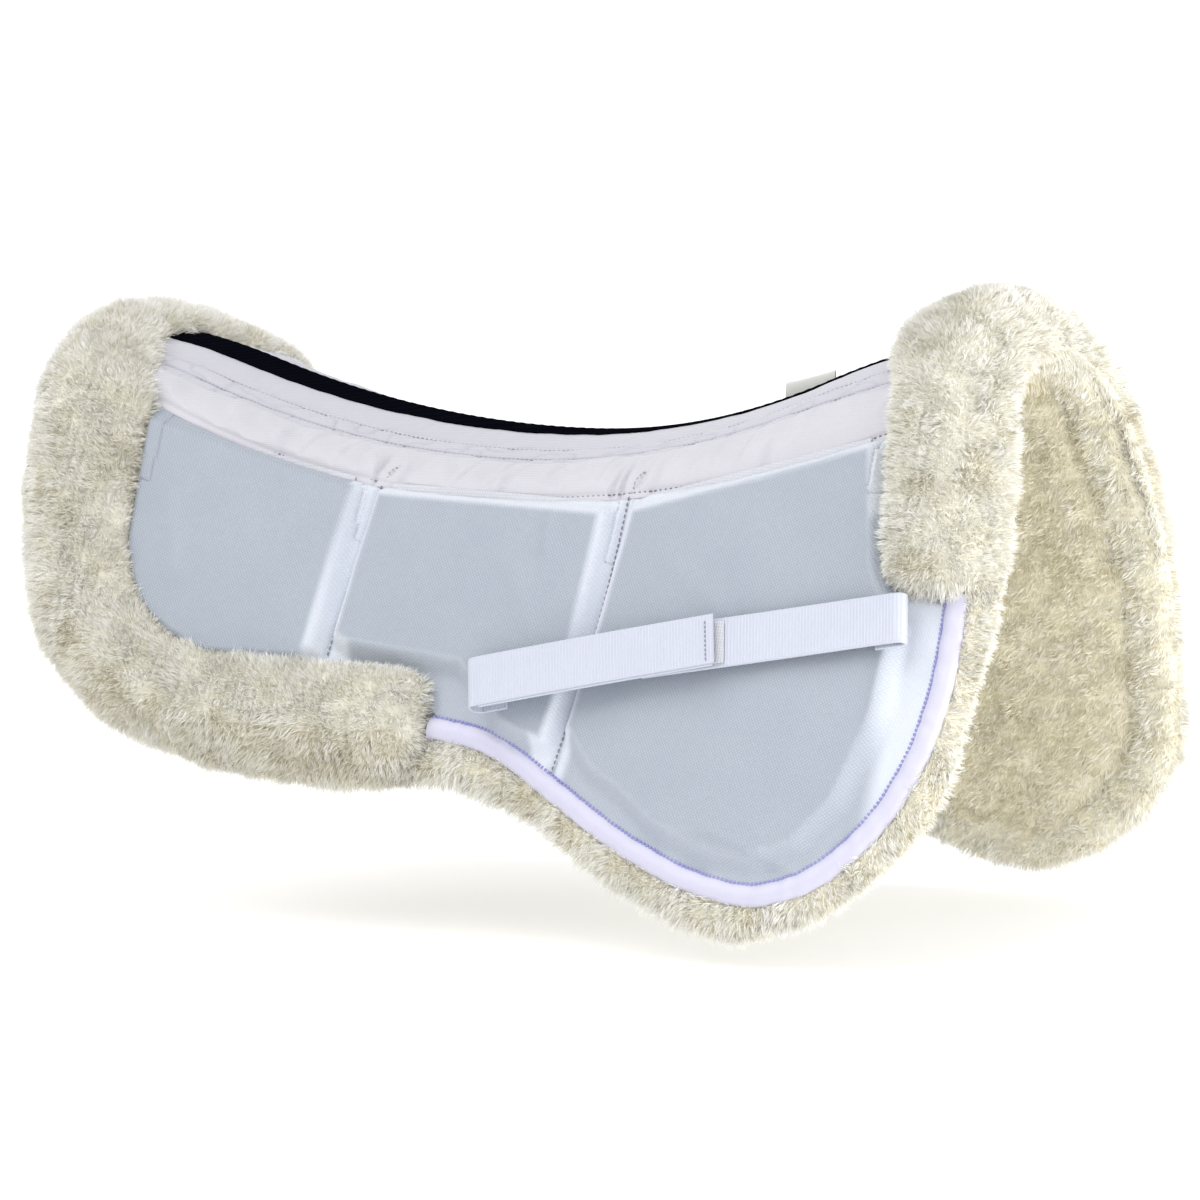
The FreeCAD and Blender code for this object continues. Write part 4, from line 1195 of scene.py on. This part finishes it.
def webbing(name, side, label, along, n, thick, shift=0.0):
    """Webbing along a path of (along, n) places, thick millimetres, bars on both faces."""
    path = stacked(along, n)
    ahead = np.gradient(path, axis=0)
    ahead /= np.linalg.norm(ahead, axis=1, keepdims=True)
    normal = np.stack([-ahead[:, 1], ahead[:, 0]], -1)
    across = np.concatenate([[-12.5, -12.3], np.linspace(-12.0, 12.0, 33), [12.3, 12.5]])
    rr, cc = np.meshgrid(run_along(path), across, indexing="ij")
    soft_edge = np.sqrt(np.clip(1 - (np.clip(np.abs(cc) - 11.9, 0, 0.6) / 0.62) ** 2, 0.02, 1))
    half = (thick / 2 + ribbed(rr, cc)) * soft_edge
    faces = []
    for sign in (1, -1):
        a = path[:, None, 0] + normal[:, None, 0] * half * sign
        h = path[:, None, 1] + normal[:, None, 1] * half * sign
        faces.append(strap_points(side, label, a, cc + shift * (1 if label == "rear" else -1), h))
    flip = side if label == "rear" else -side
    return slab(name, faces[0], faces[1], WEBBING, -flip)


def make_strap(side_name, side, label):
    """Doubled webbing, folded back at its root, whose tail is sewn under it to the cloth."""
    _, _, _, length, low = STRAPS[label]
    body = f"{side_name}_strap_{label}_body"
    middle = low + 1.0
    step = 0.34
    tail = 14.9
    reach = (middle - tail) / 2
    turn = np.linspace(-math.pi / 2, math.pi / 2, 26)
    fold_a = 3.4 - 4.2 * np.cos(turn)
    fold_n = (middle + tail) / 2 + reach * np.sin(turn)
    under_a, under_n = np.arange(16, 3.4, -step), np.full(len(np.arange(16, 3.4, -step)), tail)
    over_a = np.arange(3.8, length, step)
    bow = 0.7 if label == "rear" else -0.4
    over_n = middle + bow * np.sin(over_a / length * math.pi) ** 2
    lift, thick = (0.5, 0.85) if label == "rear" else (0.0, 1.7)
    strap = webbing(f"{side_name}_webbing_{label}", side, label, np.concatenate([under_a, fold_a, over_a]),
                    np.concatenate([under_n, fold_n, over_n + lift * smooth((over_a - 3) / 6)]), thick)
    if label == "rear":
        back_a = np.arange(6.0, length - 1.5, step)
        back_n = middle - 0.45 + bow * np.sin(back_a / length * math.pi) ** 2
        back = webbing(f"{side_name}_webbing_{label}_back", side, label, back_a, back_n, 0.85, shift=-0.9)
        attach(back, "white_webbing", body=body)
    start = strap_points(side, label, 4.0, 0.0, tail + 1.2)
    end = strap_points(side, label, 4.0, 0.0, middle - 1.0)
    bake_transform(strap)
    attach(strap, "white_webbing", f"{side_name}_strap_{label}", f"{side_name}_strap_fold_{label}")
    if label == "rear":
        across = np.linspace(-11.0, 11.0, 60)
        line = strap_points(side, label, np.full(60, length - 4.0), across, middle + 1.15)
        above = strap_points(side, label, np.full(60, length - 4.0), across, middle + 2.15)
        thread = stitches(f"{side_name}_strap_end_stitches", line, (above - line) / MM, GREY_THREAD, 2.3, 1.5,
                          0.3)
        attach(thread, "white_webbing", body=body)


# ------------------------------------------------------------------ label
def make_label():
    """A folded ribbon sewn under the tape's left edge."""
    x = np.linspace(109.4, 136.6, 20)
    turn = np.linspace(0, 2 * math.pi, 28, endpoint=False)
    base = spine_height(x) + 3.4
    top = spine_height(x) + np.interp(x, (109, 137), (14.6, 12.6))
    share = (1 + np.sin(turn)) / 2
    waist = 0.5 + 0.32 * share
    y = 17.3 + np.cos(turn) * waist
    yy = y[None] + 0.25 * np.sin(x[:, None] / 7) * share[None] + 0.5 * share[None] ** 2
    z = base[:, None] + (top - base)[:, None] * share[None]
    points = np.stack(np.broadcast_arrays(x[:, None], yy, z), -1) * MM
    faces = grid_faces(len(x), len(turn), wrap=True)[:, ::-1]
    label = new_mesh("label_ribbon", points.reshape(-1, 3), [faces], RIBBON)
    attach(label, "white_cotton", "label_tag", body="spine")


make_spine()
make_label()
for side_index, (side_name, side) in enumerate(SIDES):
    seed = FIRST_SEED + SEED_STEP * side_index
    make_lining(side_name, side, seed)
    make_cover(side_name, side)
    make_roll(side_name, side, "pommel", POMMEL_RAILS, seed + 5, ROLL_HEIGHT, 1.0, 90)
    make_roll(side_name, side, "cantle", CANTLE_RAILS, seed + 6, ROLL_HEIGHT, 0.5, 210)
    make_cover_top(side_name, side, seed + 7)
    for offset, pocket_name in enumerate(SHIM_SHAPES):
        make_pocket(side_name, side, pocket_name, seed + 10 + offset)
    make_stitching(side_name, side)
    make_piping(side_name, side, seed + 8)
    for strap_label in STRAPS:
        make_strap(side_name, side, strap_label)

FINISHES = {"hook_tape": HOOKS, "loop_tape": HOOKS, "patch": HOOKS, "shim": FOAM}
for node_name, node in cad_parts.items():
    for word, finish_material in FINISHES.items():
        if word in node_name:
            node.data.materials.clear()
            node.data.materials.append(finish_material)
